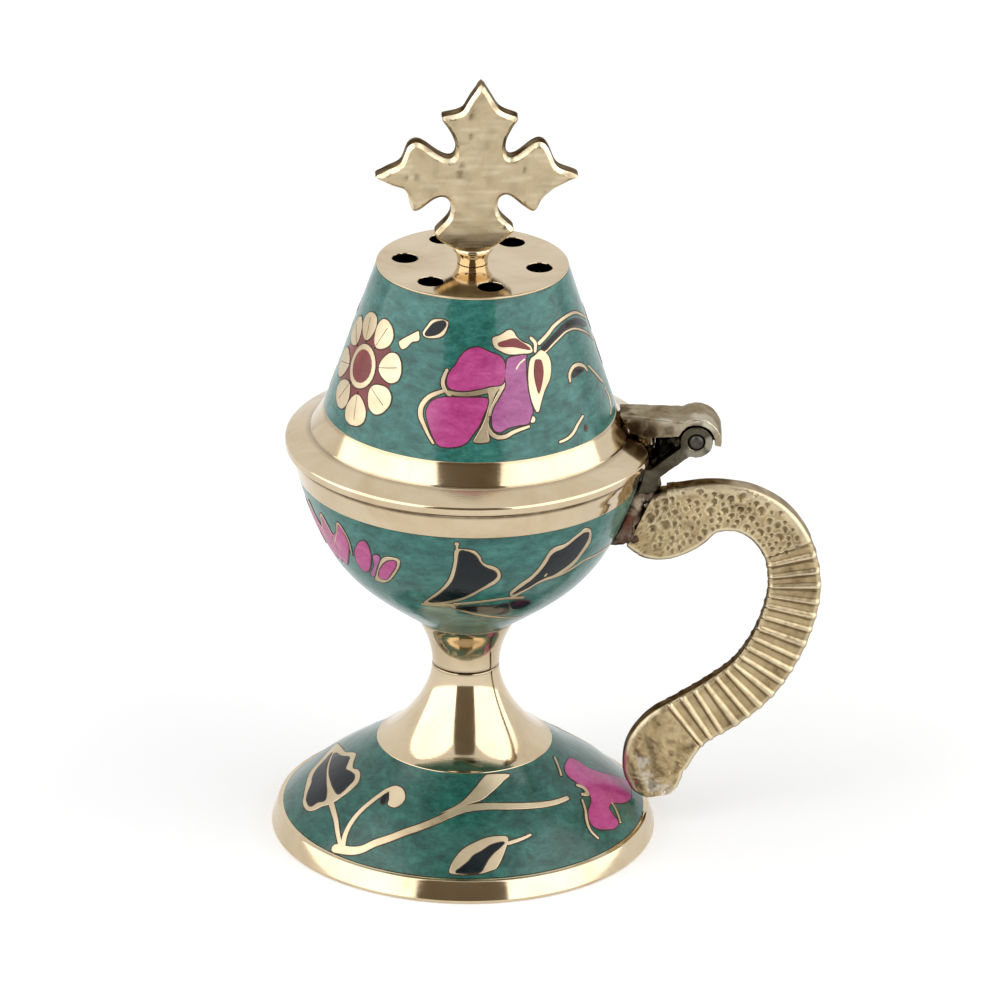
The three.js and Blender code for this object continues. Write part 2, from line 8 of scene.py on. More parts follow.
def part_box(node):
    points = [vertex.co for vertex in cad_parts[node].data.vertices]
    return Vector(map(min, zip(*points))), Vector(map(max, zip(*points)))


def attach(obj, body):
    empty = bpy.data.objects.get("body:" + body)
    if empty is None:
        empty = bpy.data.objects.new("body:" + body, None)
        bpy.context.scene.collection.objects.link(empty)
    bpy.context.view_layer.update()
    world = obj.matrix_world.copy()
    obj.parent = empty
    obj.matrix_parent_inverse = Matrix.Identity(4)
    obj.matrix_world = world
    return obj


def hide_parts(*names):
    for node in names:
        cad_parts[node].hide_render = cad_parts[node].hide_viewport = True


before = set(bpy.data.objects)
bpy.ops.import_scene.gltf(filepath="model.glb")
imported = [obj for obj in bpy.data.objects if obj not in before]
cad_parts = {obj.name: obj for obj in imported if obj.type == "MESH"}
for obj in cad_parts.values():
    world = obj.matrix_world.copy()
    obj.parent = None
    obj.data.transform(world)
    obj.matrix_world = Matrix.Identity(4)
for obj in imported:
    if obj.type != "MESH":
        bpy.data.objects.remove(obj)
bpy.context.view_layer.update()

scene = bpy.context.scene
scene.view_settings.view_transform = "Standard"
mm = 0.001
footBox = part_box("foot")
axisX = (footBox[0][0] + footBox[1][0]) / 2    # the turned pieces' own axis
print("frame loaded, turned axis at", round(axisX, 5))


# the camera looks down on the censer from the photograph's angle
camera = {"place": (-0.00746, -1.2534, 0.5940), "lens": 324, "down": 23.311, "roll": 1.056}


def placeCamera():
    data = bpy.data.cameras.new("photoCamera")
    data.lens = camera["lens"]
    data.sensor_width = 36
    data.clip_end = 20
    holder = bpy.data.objects.new("photoCamera", data)
    scene.collection.objects.link(holder)
    holder.location = camera["place"]
    holder.rotation_euler = (math.radians(90 - camera["down"]), 0, 0)
    holder.rotation_euler.rotate_axis("Z", math.radians(camera["roll"]))
    scene.camera = holder


placeCamera()

# two tall soft boxes left and right, and the dark card that the metal sees between them
studio = {
    # name, degrees round from the front, distance, width, height, watts
    "lamps": [("boxLeft", -68, 1.6, 2.8, 3.2, 45), ("boxRight", 68, 1.6, 2.8, 3.2, 43)],
    "ambient": 0.36,
    "floorColour": (0.88, 0.88, 0.88, 1),
    "floorGlow": 0.30,
    "floorSize": 6,
    "floorZ": -0.00005,
    "cardColour": (0.23, 0.19, 0.14, 1),
    "cardDistance": 1.7,
    # the card's reach in degrees: to each side, down and up
    "cardSpan": 26,
    "cardBottom": -3,
    "cardTop": 66,
    "cardRaise": 0.06,
    "cardLowestZ": 0.002,
}
# the node tree that is being wired
graph = {}


def deselectAll():
    if bpy.context.object and bpy.context.object.mode != "OBJECT":
        bpy.ops.object.mode_set(mode="OBJECT")
    bpy.ops.object.select_all(action="DESELECT")


def openGraph(holder):
    holder.use_nodes = True
    graph["nodes"] = holder.node_tree.nodes
    graph["links"] = holder.node_tree.links
    return graph["nodes"]


def feed(node, inputs):
    # a socket is linked to its input, any other value is set there
    for name, value in inputs.items():
        if isinstance(value, bpy.types.NodeSocket):
            graph["links"].new(value, node.inputs[name])
        else:
            node.inputs[name].default_value = value


def addNode(kind, output, inputs, **settings):
    node = graph["nodes"].new(kind)
    for name, value in settings.items():
        setattr(node, name, value)
    feed(node, inputs)
    return node.outputs[output]


def addMath(operation, first, second):
    return addNode("ShaderNodeMath", 0, {0: first, 1: second}, operation=operation)


def seenShare():
    # 1 for camera, glossy and transmission rays, and 0 for the rays that only light
    path = graph["nodes"].new("ShaderNodeLightPath")
    seen = addMath("MAXIMUM", path.outputs["Is Camera Ray"], path.outputs["Is Glossy Ray"])
    return addMath("MAXIMUM", seen, path.outputs["Is Transmission Ray"])


def addLamps():
    for name, around, distance, width, height, watts in studio["lamps"]:
        turn = math.radians(around)
        place = Vector((distance * math.sin(turn), -distance * math.cos(turn), height / 2))
        data = bpy.data.lights.new(name, "AREA")
        data.shape = "RECTANGLE"
        data.size = width
        data.size_y = height
        data.energy = watts
        lamp = bpy.data.objects.new(name, data)
        scene.collection.objects.link(lamp)
        lamp.location = place
        lamp.rotation_euler = (Vector((0, 0, height / 2)) - place).to_track_quat("-Z", "Y").to_euler()


def lightWorld():
    world = bpy.data.worlds.new("studioWorld")
    scene.world = world
    background = openGraph(world)["Background"]
    level = addNode("ShaderNodeMapRange", "Result", {
        "Value": seenShare(), "To Min": studio["ambient"], "To Max": 1})
    feed(background, {"Color": (1, 1, 1, 1), "Strength": level})


def addPlane(name, size, z):
    deselectAll()
    bpy.ops.mesh.primitive_plane_add(size=size, location=(0, 0, z))
    bpy.context.object.name = name
    return bpy.context.object


def plainFinish(name, colour, roughness):
    plain = bpy.data.materials.new(name)
    shader = openGraph(plain)["Principled BSDF"]
    feed(shader, {"Base Color": colour, "Roughness": roughness, "Specular IOR Level": 0})
    return plain


def layFloor():
    floor = addPlane("studioFloor", studio["floorSize"], studio["floorZ"])
    paper = plainFinish("floorPaper", studio["floorColour"], 0.9)
    glow = addMath("MULTIPLY", seenShare(), studio["floorGlow"])
    feed(graph["nodes"]["Principled BSDF"], {"Emission Color": (1, 1, 1, 1), "Emission Strength": glow})
    floor.data.materials.append(paper)


def hangCard():
    # only reflections show the card
    card = addPlane("darkCard", 1, 0)
    corners = card.data.vertices
    distance = studio["cardDistance"]
    span, bottom, top = studio["cardSpan"], studio["cardBottom"], studio["cardTop"]
    order = sorted(range(4), key=lambda i: math.atan2(corners[i].co.y, corners[i].co.x))
    for index, (across, up) in zip(order, [(-span, bottom), (span, bottom), (span, top), (-span, top)]):
        turn = math.radians(across)
        rise = math.radians(up)
        corners[index].co = Vector((
            distance * math.sin(turn) * math.cos(rise),
            -distance * math.cos(turn) * math.cos(rise),
            max(distance * math.sin(rise) + studio["cardRaise"], studio["cardLowestZ"])))
    card.data.materials.append(plainFinish("cardFelt", studio["cardColour"], 1))
    card.visible_camera = False
    card.visible_diffuse = False
    card.visible_shadow = False
    card.visible_transmission = False


addLamps()
lightWorld()
layFloor()
hangCard()
print("studio placed")


# Finishes
def newFinish(name):
    finish = bpy.data.materials.new(name)
    shader = openGraph(finish)["Principled BSDF"]
    place = addNode("ShaderNodeTexCoord", "Object", {})
    centred = addNode("ShaderNodeMapping", "Vector", {"Vector": place, "Location": (-axisX, 0, 0)})
    return finish, shader, centred


def addNoise(vector, scale, detail=4, roughness=0.55, distortion=0.0, stretch=None):
    if stretch:
        vector = addNode("ShaderNodeMapping", "Vector", {"Vector": vector, "Scale": stretch})
    return addNode("ShaderNodeTexNoise", "Fac", {
        "Vector": vector, "Scale": scale, "Detail": detail, "Roughness": roughness, "Distortion": distortion})


def addRamp(value, stops):
    ramp = graph["nodes"].new("ShaderNodeValToRGB")
    feed(ramp, {"Fac": value})
    bands = ramp.color_ramp.elements
    bands[0].position, bands[0].color = stops[0][0], (*stops[0][1], 1)
    bands[1].position, bands[1].color = stops[-1][0], (*stops[-1][1], 1)
    for position, colour in stops[1:-1]:
        band = bands.new(position)
        band.color = (*colour, 1)
    return ramp.outputs["Color"]


def addRange(value, low, high, fromLow=0.3, fromHigh=0.7):
    return addNode("ShaderNodeMapRange", "Result", {
        "Value": value, "From Min": fromLow, "From Max": fromHigh, "To Min": low, "To Max": high})


def addBump(height, strength, depth, below=None):
    inputs = {"Height": height, "Strength": strength, "Distance": depth * mm}
    if below:
        inputs["Normal"] = below
    return addNode("ShaderNodeBump", "Normal", inputs)


def addTone(colour, share, tone):
    # more of the tone where the share is high
    return addNode("ShaderNodeMix", 2, {0: share, 6: colour, 7: (*tone, 1)}, data_type="RGBA")


def addPainted(colour, layer, tone):
    # the layer is an attribute that the piece's own vertices carry
    return addTone(colour, addNode("ShaderNodeAttribute", "Fac", {}, attribute_name=layer), tone)


def addGrimeAndShade(place, colour, lines, tone):
    # dark bands at given heights, dirt in the grooves and joints and painted shade in the seam under the
    # lid's flange: (height, half width, amount) in millimetres, up to 100
    height = addRange(addNode("ShaderNodeSeparateXYZ", "Z", {"Vector": place}), 0, 1, 0, 0.1)
    fade = 0.12
    stops = [(0, (0, 0, 0))]
    for middle, half, amount in lines:
        stops.append(((middle - half - fade) / 100, (0, 0, 0)))
        stops.append(((middle - half) / 100, (amount,) * 3))
        stops.append(((middle + half) / 100, (amount,) * 3))
        stops.append(((middle + half + fade) / 100, (0, 0, 0)))
    stops.append((1, (0, 0, 0)))
    patchy = addRange(addNoise(place, 160, 4, 0.6), 0.55, 1.0)
    return addTone(colour, addMath("MULTIPLY", addRamp(height, stops), patchy), tone)


turnedBrass = {
    "tones": [(0.26, (0.40, 0.28, 0.15)), (0.38, (0.56, 0.44, 0.28)), (0.56, (0.63, 0.515, 0.35)),
              (0.80, (0.70, 0.59, 0.42))],
    "roughness": (0.07, 0.14),
    "lineDepth": 0.003,
    "unevenDepth": 0.10,
    # dark bands: dirt at the grooves and joints, and painted shade in the seam under the lid's flange (the
    # band at 62.83)
    "grimeAndShade": [(3.36, 0.03, 0.9), (27.15, 0.16, 0.8), (34.85, 0.10, 0.6), (62.83, 0.33, 1.0),
              (65.95, 0.12, 0.6), (69.25, 0.08, 0.5)],
    "grimeAndShadeTone": (0.060, 0.033, 0.015),
    "sootAndShadeTone": (0.020, 0.015, 0.011),
}


def makeTurnedBrass(name, values=turnedBrass):
    finish, shader, place = newFinish(name)
    colour = addRamp(addNoise(place, 90, 7, 0.62, 0.4), values["tones"])
    if "grimeAndShade" in values:
        colour = addGrimeAndShade(place, colour, values["grimeAndShade"], values["grimeAndShadeTone"])
        # soot and painted shade inside the bowl and lid
        colour = addPainted(colour, "sootAndShade", values["sootAndShadeTone"])
    smears = addNoise(place, 140, 5, 0.65, 1.0, (1, 1, 2.5))
    # fine lines left by the lathe run round the axis
    lines = addNode("ShaderNodeTexWave", "Fac", {
        "Vector": place, "Scale": 900, "Distortion": 3, "Detail": 3, "Detail Scale": 0.4},
        wave_type="RINGS", rings_direction="Z")
    lathed = addBump(lines, 0.25, values["lineDepth"])
    uneven = addBump(addNoise(place, 70, 3, 0.5), 0.2, values["unevenDepth"], lathed)
    roughness = addRange(smears, *values["roughness"])
    feed(shader, {"Metallic": 1, "Base Color": colour, "Roughness": roughness, "Normal": uneven})
    return finish


castBrass = {
    "tones": [(0.28, (0.15, 0.095, 0.042)), (0.40, (0.37, 0.275, 0.145)), (0.58, (0.51, 0.395, 0.22)),
              (0.80, (0.66, 0.53, 0.325))],
    "roughness": (0.30, 0.46),
    "pitDepth": 0.10,
    "fileDepth": 0.05,
    "wearAndHighlightTone": (0.90, 0.79, 0.57),
    "paleTone": (0.64, 0.58, 0.50),
    "glancing": (0.50, 0.46, 0.42, 1),
    "patinaAndShadeTone": (0.045, 0.024, 0.011),
}


def makeCastBrass(name, changes=None, filed=(1, 1, 1)):
    values = {**castBrass, **(changes or {})}
    finish, shader, place = newFinish(name)
    colour = addRamp(addNoise(place, 260, 8, 0.64, 0.4), values["tones"])
    # the wear layer holds wear and painted highlights, the patina layer holds patina and painted shade
    for layer in ("wearAndHighlight", "pale", "patinaAndShade"):
        colour = addPainted(colour, layer, values[layer + "Tone"])
    roughness = addRange(addNoise(place, 500, 5, 0.6), *values["roughness"])
    strokes = addBump(addNoise(place, 260, 5, 0.6, 0.2, filed), 0.55, values["fileDepth"])
    grit = addBump(addNoise(place, 1500, 3, 0.6), 0.35, values["pitDepth"] * 0.3, strokes)
    # the tint keeps the dark patina and painted shade dark where it is seen at a slant
    feed(shader, {"Metallic": 1, "Specular Tint": values["glancing"], "Base Color": colour,
                  "Roughness": roughness, "Normal": grit})
    return finish


greenEnamel = {
    "tones": [(0.30, (0.004, 0.034, 0.030)), (0.42, (0.012, 0.092, 0.076)), (0.52, (0.027, 0.150, 0.124)),
              (0.62, (0.052, 0.215, 0.180)), (0.76, (0.110, 0.330, 0.285))],
    "roughness": (0.12, 0.26),
}


def makeEnamel(name, tones, roughness, scale=300, gloss=0.42):
    finish, shader, place = newFinish(name)
    colour = addRamp(addNoise(place, scale, 12, 0.80, 0.35, (1, 1, 2.0)), tones)
    rubbed = addRange(addNoise(place, 120, 4, 0.55), *roughness)
    waves = addBump(addNoise(place, 150, 4, 0.55), 0.38, 0.42)
    pores = addBump(addNoise(place, 1400, 2, 0.5), 0.15, 0.03, waves)
    feed(shader, {"Specular IOR Level": gloss, "Base Color": colour, "Roughness": rubbed, "Normal": pores})
    return finish


finishes = {
    "turned": makeTurnedBrass("turnedBrass"),
    "inlay": makeTurnedBrass("inlayBrass", {
        "tones": [(0.28, (0.36, 0.26, 0.14)), (0.42, (0.52, 0.42, 0.27)), (0.70, (0.64, 0.54, 0.38))],
        "roughness": (0.28, 0.46), "lineDepth": 0.003, "unevenDepth": 0.2}),
    # dark brown for the patina and painted shade round the cells, and for the petals' ridges
    "grooveAndShade": makeEnamel("grooveAndShadeBrown", [(0.30, (0.016, 0.006, 0.003)), (0.55, (0.045, 0.020, 0.009)),
                                         (0.85, (0.11, 0.055, 0.026))], (0.25, 0.45), 300, 0.3),
    "cast": makeCastBrass("castBrass"),
    "filed": makeCastBrass("filedBrass", {
        "tones": [(0.25, (0.36, 0.275, 0.165)), (0.40, (0.50, 0.40, 0.25)), (0.60, (0.57, 0.465, 0.30)),
                  (0.82, (0.68, 0.57, 0.40))],
        "roughness": (0.26, 0.42), "pitDepth": 0.08, "fileDepth": 0.07}, (0.14, 1, 3.0)),
    "hinge": makeCastBrass("hingeBrass", {
        "tones": [(0.28, (0.11, 0.08, 0.05)), (0.44, (0.29, 0.235, 0.155)), (0.62, (0.41, 0.36, 0.26)),
                  (0.82, (0.56, 0.51, 0.39))],
        "roughness": (0.26, 0.42), "wearAndHighlightTone": (0.72, 0.68, 0.55)}),
    "arm": makeCastBrass("armBrass", {
        "tones": [(0.28, (0.022, 0.017, 0.011)), (0.48, (0.060, 0.052, 0.034)), (0.66, (0.115, 0.102, 0.070)),
                  (0.84, (0.24, 0.215, 0.155))],
        "roughness": (0.26, 0.42), "wearAndHighlightTone": (0.42, 0.39, 0.30), "patinaAndShadeTone": (0.006, 0.005, 0.004)}),
    "braze": makeCastBrass("brazeBrass", {
        "tones": [(0.28, (0.030, 0.014, 0.010)), (0.45, (0.085, 0.050, 0.034)), (0.62, (0.17, 0.125, 0.09)),
                  (0.82, (0.36, 0.29, 0.21))],
        "roughness": (0.34, 0.60), "pitDepth": 0.22, "fileDepth": 0.16, "patinaAndShadeTone": (0.13, 0.022, 0.012)}),
    "pin": makeCastBrass("pinSteel", {
        "tones": [(0.30, (0.020, 0.016, 0.013)), (0.50, (0.058, 0.052, 0.044)), (0.75, (0.13, 0.12, 0.10))],
        "roughness": (0.30, 0.50), "pitDepth": 0.08, "fileDepth": 0.04}),
    "green": makeEnamel("greenEnamel", greenEnamel["tones"], greenEnamel["roughness"]),
    "deepGreen": makeEnamel("deepGreenEnamel", [(0.30, (0.003, 0.020, 0.016)), (0.42, (0.007, 0.058, 0.044)),
                                                (0.52, (0.015, 0.100, 0.076)), (0.62, (0.030, 0.150, 0.116)),
                                                (0.76, (0.068, 0.240, 0.190))], greenEnamel["roughness"]),
    "magenta": makeEnamel("magentaEnamel", [(0.34, (0.30, 0.022, 0.130)), (0.48, (0.42, 0.045, 0.200)),
                                            (0.66, (0.53, 0.095, 0.290))], (0.20, 0.36)),
    "purple": makeEnamel("purpleEnamel", [(0.34, (0.27, 0.050, 0.180)), (0.50, (0.39, 0.100, 0.275)),
                                          (0.68, (0.50, 0.180, 0.370))], (0.20, 0.36)),
    "black": makeEnamel("blackEnamel", [(0.32, (0.002, 0.004, 0.006)), (0.60, (0.005, 0.010, 0.013)),
                                        (0.90, (0.015, 0.032, 0.036))], (0.08, 0.18), 260, 0.22),
    "maroon": makeEnamel("maroonEnamel", [(0.30, (0.10, 0.006, 0.006)), (0.55, (0.19, 0.014, 0.012)),
                                          (0.85, (0.30, 0.035, 0.025))], (0.18, 0.32), 260),
}
print("finishes mixed")


def dressPiece(piece, finish, body, replaces=()):
    piece.data.materials.clear()
    piece.data.materials.append(finishes[finish])
    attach(piece, body)
    if replaces:
        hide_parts(*replaces)
    return piece


def pickPiece(piece):
    deselectAll()
    piece.select_set(True)
    bpy.context.view_layer.objects.active = piece


def takeNew(name):
    # the piece that an operator has just added
    piece = bpy.context.object
    piece.name = name
    piece.data.name = name
    return piece


def selectMesh():
    bpy.ops.mesh.select_all(action="SELECT")


def startEdit():
    bpy.ops.object.mode_set(mode="EDIT")
    selectMesh()


def faceOutwards():
    selectMesh()
    bpy.ops.mesh.normals_make_consistent(inside=False)


def cutMesh(across, places):
    # everything is cut at each place along one axis
    for place in places:
        selectMesh()
        bpy.ops.mesh.bisect(plane_co=[part * place for part in across], plane_no=across)


def stepsFrom(start, stop, step):
    places = []
    while start < stop:
        places.append(start)
        start += step
    return places


def smoothUnder(degrees):
    bpy.ops.object.shade_smooth_by_angle(angle=math.radians(degrees))


# Profiles: lists of (radius, height) in millimetres
def sweepLine(start, end, shares, steps):
    across = end[0] - start[0]
    up = end[1] - start[1]
    leave = (start[0] + across * shares[0], start[1] + up * shares[1])
    arrive = (end[0] - across * shares[2], end[1] - up * shares[3])
    points = []
    for i in range(steps + 1):
        t = i / steps
        weights = ((1 - t) ** 3, 3 * t * (1 - t) ** 2, 3 * t * t * (1 - t), t ** 3)
        corners = (start, leave, arrive, end)
        points.append(tuple(sum(w * c[k] for w, c in zip(weights, corners)) for k in (0, 1)))
    return points


def shiftLine(points, depth):
    moved = []
    for i, (x, z) in enumerate(points):
        before = points[max(i - 1, 0)]
        after = points[min(i + 1, len(points) - 1)]
        across, up = after[0] - before[0], after[1] - before[1]
        length = math.hypot(across, up)
        moved.append((x + up / length * depth, z - across / length * depth))
    return moved


def trimLine(points, length):
    def cut(end, inner):
        span = math.hypot(inner[0] - end[0], inner[1] - end[1])
        return (end[0] + (inner[0] - end[0]) * length / span, end[1] + (inner[1] - end[1]) * length / span)
    return [cut(points[0], points[1]), *points[1:-1], cut(points[-1], points[-2])]


def roundCorners(points, closed=True):
    # a third number on a point is how far its corner is rounded
    rounded = []
    count = len(points)
    for i, point in enumerate(points):
        reach = point[2] if len(point) > 2 else 0
        if not reach or (not closed and i in (0, count - 1)):
            rounded.append((point[0], point[1]))
            continue
        before = points[i - 1]
        after = points[(i + 1) % count]
        ends = []
        for other in (before, after):
            span = math.hypot(other[0] - point[0], other[1] - point[1])
            part = min(reach, span * 0.45) / span
            ends.append((point[0] + (other[0] - point[0]) * part, point[1] + (other[1] - point[1]) * part))
        for step in range(5):
            t = step / 4
            rounded.append(tuple(
                (1 - t) ** 2 * ends[0][k] + 2 * t * (1 - t) * point[k] + t * t * ends[1][k] for k in (0, 1)))
    return rounded


turning = {"steps": 176, "drillSteps": 40, "collarSteps": 64, "pinSteps": 40}
# the steepest edge that is still shaded smooth, in degrees
smoothing = {"turned": 34, "inlay": 24, "handle": 60, "cross": 36}


def turnProfile(name, points, steps=turning["steps"], closed=True, centre=(axisX, 0), lying=False):
    # the profile is drawn point by point and spun, round the turned axis or, lying, along Y
    deselectAll()
    midX, midZ = centre

    def spot(point):
        if lying:
            return Vector((midX + point[0] * mm, point[1] * mm, midZ))
        return Vector((midX + point[0] * mm, 0, midZ + point[1] * mm))

    bpy.ops.mesh.primitive_plane_add(size=mm)
    piece = takeNew(name)
    startEdit()
    bpy.ops.mesh.merge(type="CENTER")
    here = spot(points[0])
    bpy.ops.transform.translate(value=here)
    for point in list(points[1:]) + ([points[0]] if closed else []):
        there = spot(point)
        bpy.ops.mesh.extrude_vertices_move(TRANSFORM_OT_translate={"value": there - here})
        here = there
    selectMesh()
    bpy.ops.mesh.remove_doubles(threshold=0.000001)
    axis = (0, 1, 0) if lying else (0, 0, 1)
    bpy.ops.mesh.spin(steps=steps, angle=2 * math.pi, center=(midX, 0, midZ), axis=axis)
    selectMesh()
    bpy.ops.mesh.remove_doubles(threshold=0.000002)
    bpy.ops.mesh.normals_make_consistent(inside=False)
    bpy.ops.object.mode_set(mode="OBJECT")
    smoothUnder(smoothing["turned"])
    return piece


# The bands that the turned pieces and their enamel share
domeLine = sweepLine((27.8, 3.5), (13.4, 14.4), (0.476, 0.596, 0.35, 0.383), 36)
cupLine = sweepLine((7.5, 34.8), (26, 58.8), (0.58, 0.32, 0.24, 0.6), 44)
coneLine = [(22.1 - 7.61 * i / 24, 69.3 + 23.14 * i / 24) for i in range(25)]
enamelFace = {"below": 0.03, "depth": 0.7, "gap": 0.1, "recess": 0.8}


def makeFoot():
    trumpet = sweepLine((13.4, 14.4), (5.15, 27.1), (0.28, 0.06, 0, 0.44), 36)
    ceiling = [p for p in shiftLine(domeLine, -2.3) if p[0] > 7.6 and p[1] < 13.425]
    profile = roundCorners([
        (27.3, 0, 0.2), (29.3, 0, 0.25), (29.5, 0.4, 0.2), (28.5, 3.24, 0.16), (28.3, 3.36, 0.08),
        (28.05, 3.34, 0.06), (27.86, 3.46, 0.06), *shiftLine(domeLine, -enamelFace["recess"])[1:-1],
        (13.46, 14.38, 0.12), *trumpet[1:-1], (5.15, 27.1, 0.25), (2.1, 27.1), (2.1, 13.825),
        (7.6, 13.825), *reversed(ceiling)])
    return dressPiece(turnProfile("footTurned", profile), "turned", "base", ["foot"])


def makeEnamelRing(name, line, body, node, finish="green"):
    face = trimLine(shiftLine(line, -enamelFace["below"]), enamelFace["gap"])
    back = shiftLine(face, -enamelFace["depth"])
    ring = turnProfile(name, [*face, *reversed(back)])
    return dressPiece(ring, finish, body, [node])


def makeBowl():
    stub = sweepLine((5.15, 27.2), (7.5, 34.8), (0.04, 0.5, 0.23, 0.2), 20)
    lining = [p for p in shiftLine(cupLine, -1.9) if p[1] > 36.2]
    profile = roundCorners([
        (0, 34.3), (2.1, 34.3), (2.1, 27.2), (5.15, 27.2, 0.25), *stub[1:-1], (7.5, 34.8, 0.12),
        *shiftLine(cupLine, -enamelFace["recess"])[1:-1], (26.0, 58.8, 0.12), (26.4, 60.4, 0.3),
        (26.8, 61.6, 0.2), (26.98, 62.35, 0.2), (26.98, 62.8, 0.1), (26.8, 62.9, 0.1), (25.0, 62.9, 0.2),
        *reversed(lining), (0, 36.2)],
        closed=False)
    bowl = turnProfile("bowlTurned", profile, closed=False)
    laySootAndShade(bowl, [(0, 34.9), *shiftLine(cupLine, -1.2), (25.6, 62.2)])
    return dressPiece(bowl, "turned", "base", ["bowl"])


# how dark the soot and painted shade inside the bowl and lid are
sootAndShadeAmount = 0.93


def laySootAndShade(piece, wall):
    # soot and painted shade darken what lies inside the wall's middle line
    sootAndShade = []
    for vertex in piece.data.vertices:
        height = vertex.co.z / mm
        radius = math.hypot(vertex.co.x - axisX, vertex.co.y) / mm
        share = 0.0
        for (r0, z0), (r1, z1) in zip(wall, wall[1:]):
            if z0 <= height <= z1 and radius < r0 + (r1 - r0) * (height - z0) / (z1 - z0):
                share = sootAndShadeAmount
        sootAndShade.append(share)
    paintVertices(piece, {"sootAndShade": sootAndShade})


def paintVertices(piece, layers):
    # soot, patina, wear and pale places, with the painted shade and highlights that share them, are kept on
    # the vertices, and the finishes read them
    for name, values in layers.items():
        layer = piece.data.attributes.new(name, "FLOAT", "POINT")
        layer.data.foreach_set("value", values)


plateZ = 92.7
smokeHoles = {"radius": 1.95, "circle": 10.2, "turns": (-10, 55, 117, 174, 233, 286), "flare": 0.10}


def makeLid():
    cove = sweepLine((22.1, 69.3), (24.2, 66), (0.30, 0.36, 0.30, 0.26), 18)
    profile = roundCorners([
        (1.6, plateZ), (14.3, plateZ, 0.15), (14.49, 92.62, 0.06), (14.47, 92.46),
        *reversed(shiftLine(coneLine, -enamelFace["recess"])[1:-1]), (22.1, 69.3, 0.1), *cove[1:-1],
        (24.1, 66.0, 0.1), (24.3, 65.86, 0.1), (27.5, 64.62, 0.3), (27.9, 64.3, 0.3),
        (27.9, 63.2, 0.15), (24.7, 63.2), (24.7, 62.2, 0.15), (23.3, 62.2, 0.15), (22.4, 66.0), (20.3, 69.3),
        (12.8, 90.8, 0.4), (1.6, 90.8)])
    lid = turnProfile("lidTurned", profile)
    hole = smokeHoles["radius"]
    flare = smokeHoles["flare"]
    outline = [(0, -4), (hole, -4), (hole, -flare), (hole + flare, 0.02), (hole + flare, 1), (0, 1)]
    drills = []
    for index, degrees in enumerate(smokeHoles["turns"]):
        turn = math.radians(degrees)
        centre = (axisX + smokeHoles["circle"] * mm * math.cos(turn), plateZ * mm)
        drill = turnProfile("drill" + str(index), outline, turning["drillSteps"], False, centre)
        drill.data.transform(Matrix.Translation((0, smokeHoles["circle"] * mm * math.sin(turn), 0)))
        drills.append(drill)
    pickPiece(lid)
    for drill in drills:
        cut = lid.modifiers.new("smokeHole", "BOOLEAN")
        cut.operation = "DIFFERENCE"
        cut.solver = "EXACT"
        cut.object = drill
        bpy.ops.object.modifier_apply(modifier=cut.name)
    for drill in drills:
        bpy.data.objects.remove(drill)
    smoothUnder(smoothing["turned"])
    laySootAndShade(lid, [(23.7, 62.1), (22.9, 66.0), (20.7, 69.3), (13.3, 92.0), (13.3, 92.66)])
    return dressPiece(lid, "turned", "lid", ["lid"])


makeFoot()
makeBowl()
makeLid()
makeEnamelRing("footEnamelRing", domeLine, "base", "foot_enamel", "deepGreen")
makeEnamelRing("bowlEnamelRing", cupLine, "base", "bowl_enamel")
makeEnamelRing("lidEnamelRing", coneLine, "lid", "lid_enamel")
print("turned pieces spun")


# Inlay: every cell is drawn flat as (degrees round, millimetres along the band), cut into small
# faces, raised, and wrapped on its band
bands = {"lid": coneLine, "bowl": cupLine, "foot": domeLine}
flatRadius = 20.0


def bandSpot(band, along):
    line = bands[band]
    left = along
    for i in range(1, len(line)):
        step = math.hypot(line[i][0] - line[i - 1][0], line[i][1] - line[i - 1][1])
        if left <= step or i == len(line) - 1:
            t = left / step
            a, b = line[i - 1], line[i]
            outward = ((b[1] - a[1]) / step, -(b[0] - a[0]) / step)
            return (a[0] + (b[0] - a[0]) * t, a[1] + (b[1] - a[1]) * t), outward
        left -= step


def smoothClosed(points, steps=5):
    count = len(points)
    result = []
    for i in range(count):
        p0, p1, p2, p3 = (points[(i + k) % count] for k in (-1, 0, 1, 2))
        for step in range(steps):
            t = step / steps
            result.append(tuple(catmull(p0[k], p1[k], p2[k], p3[k], t) for k in (0, 1)))
    return result


def catmull(a, b, c, d, t):
    bend = (2 * a - 5 * b + 4 * c - d) * t * t
    return 0.5 * (2 * b + (c - a) * t + bend + (3 * b - a - 3 * c + d) * t ** 3)


def smoothOpen(points, steps=6):
    result = []
    last = len(points) - 1
    for i in range(last):
        p0 = points[max(i - 1, 0)]
        p3 = points[min(i + 2, last)]
        p1, p2 = points[i], points[i + 1]
        for step in range(steps):
            t = step / steps
            result.append(tuple(catmull(p0[k], p1[k], p2[k], p3[k], t) for k in range(len(p1))))
    result.append(tuple(points[-1]))
    return result


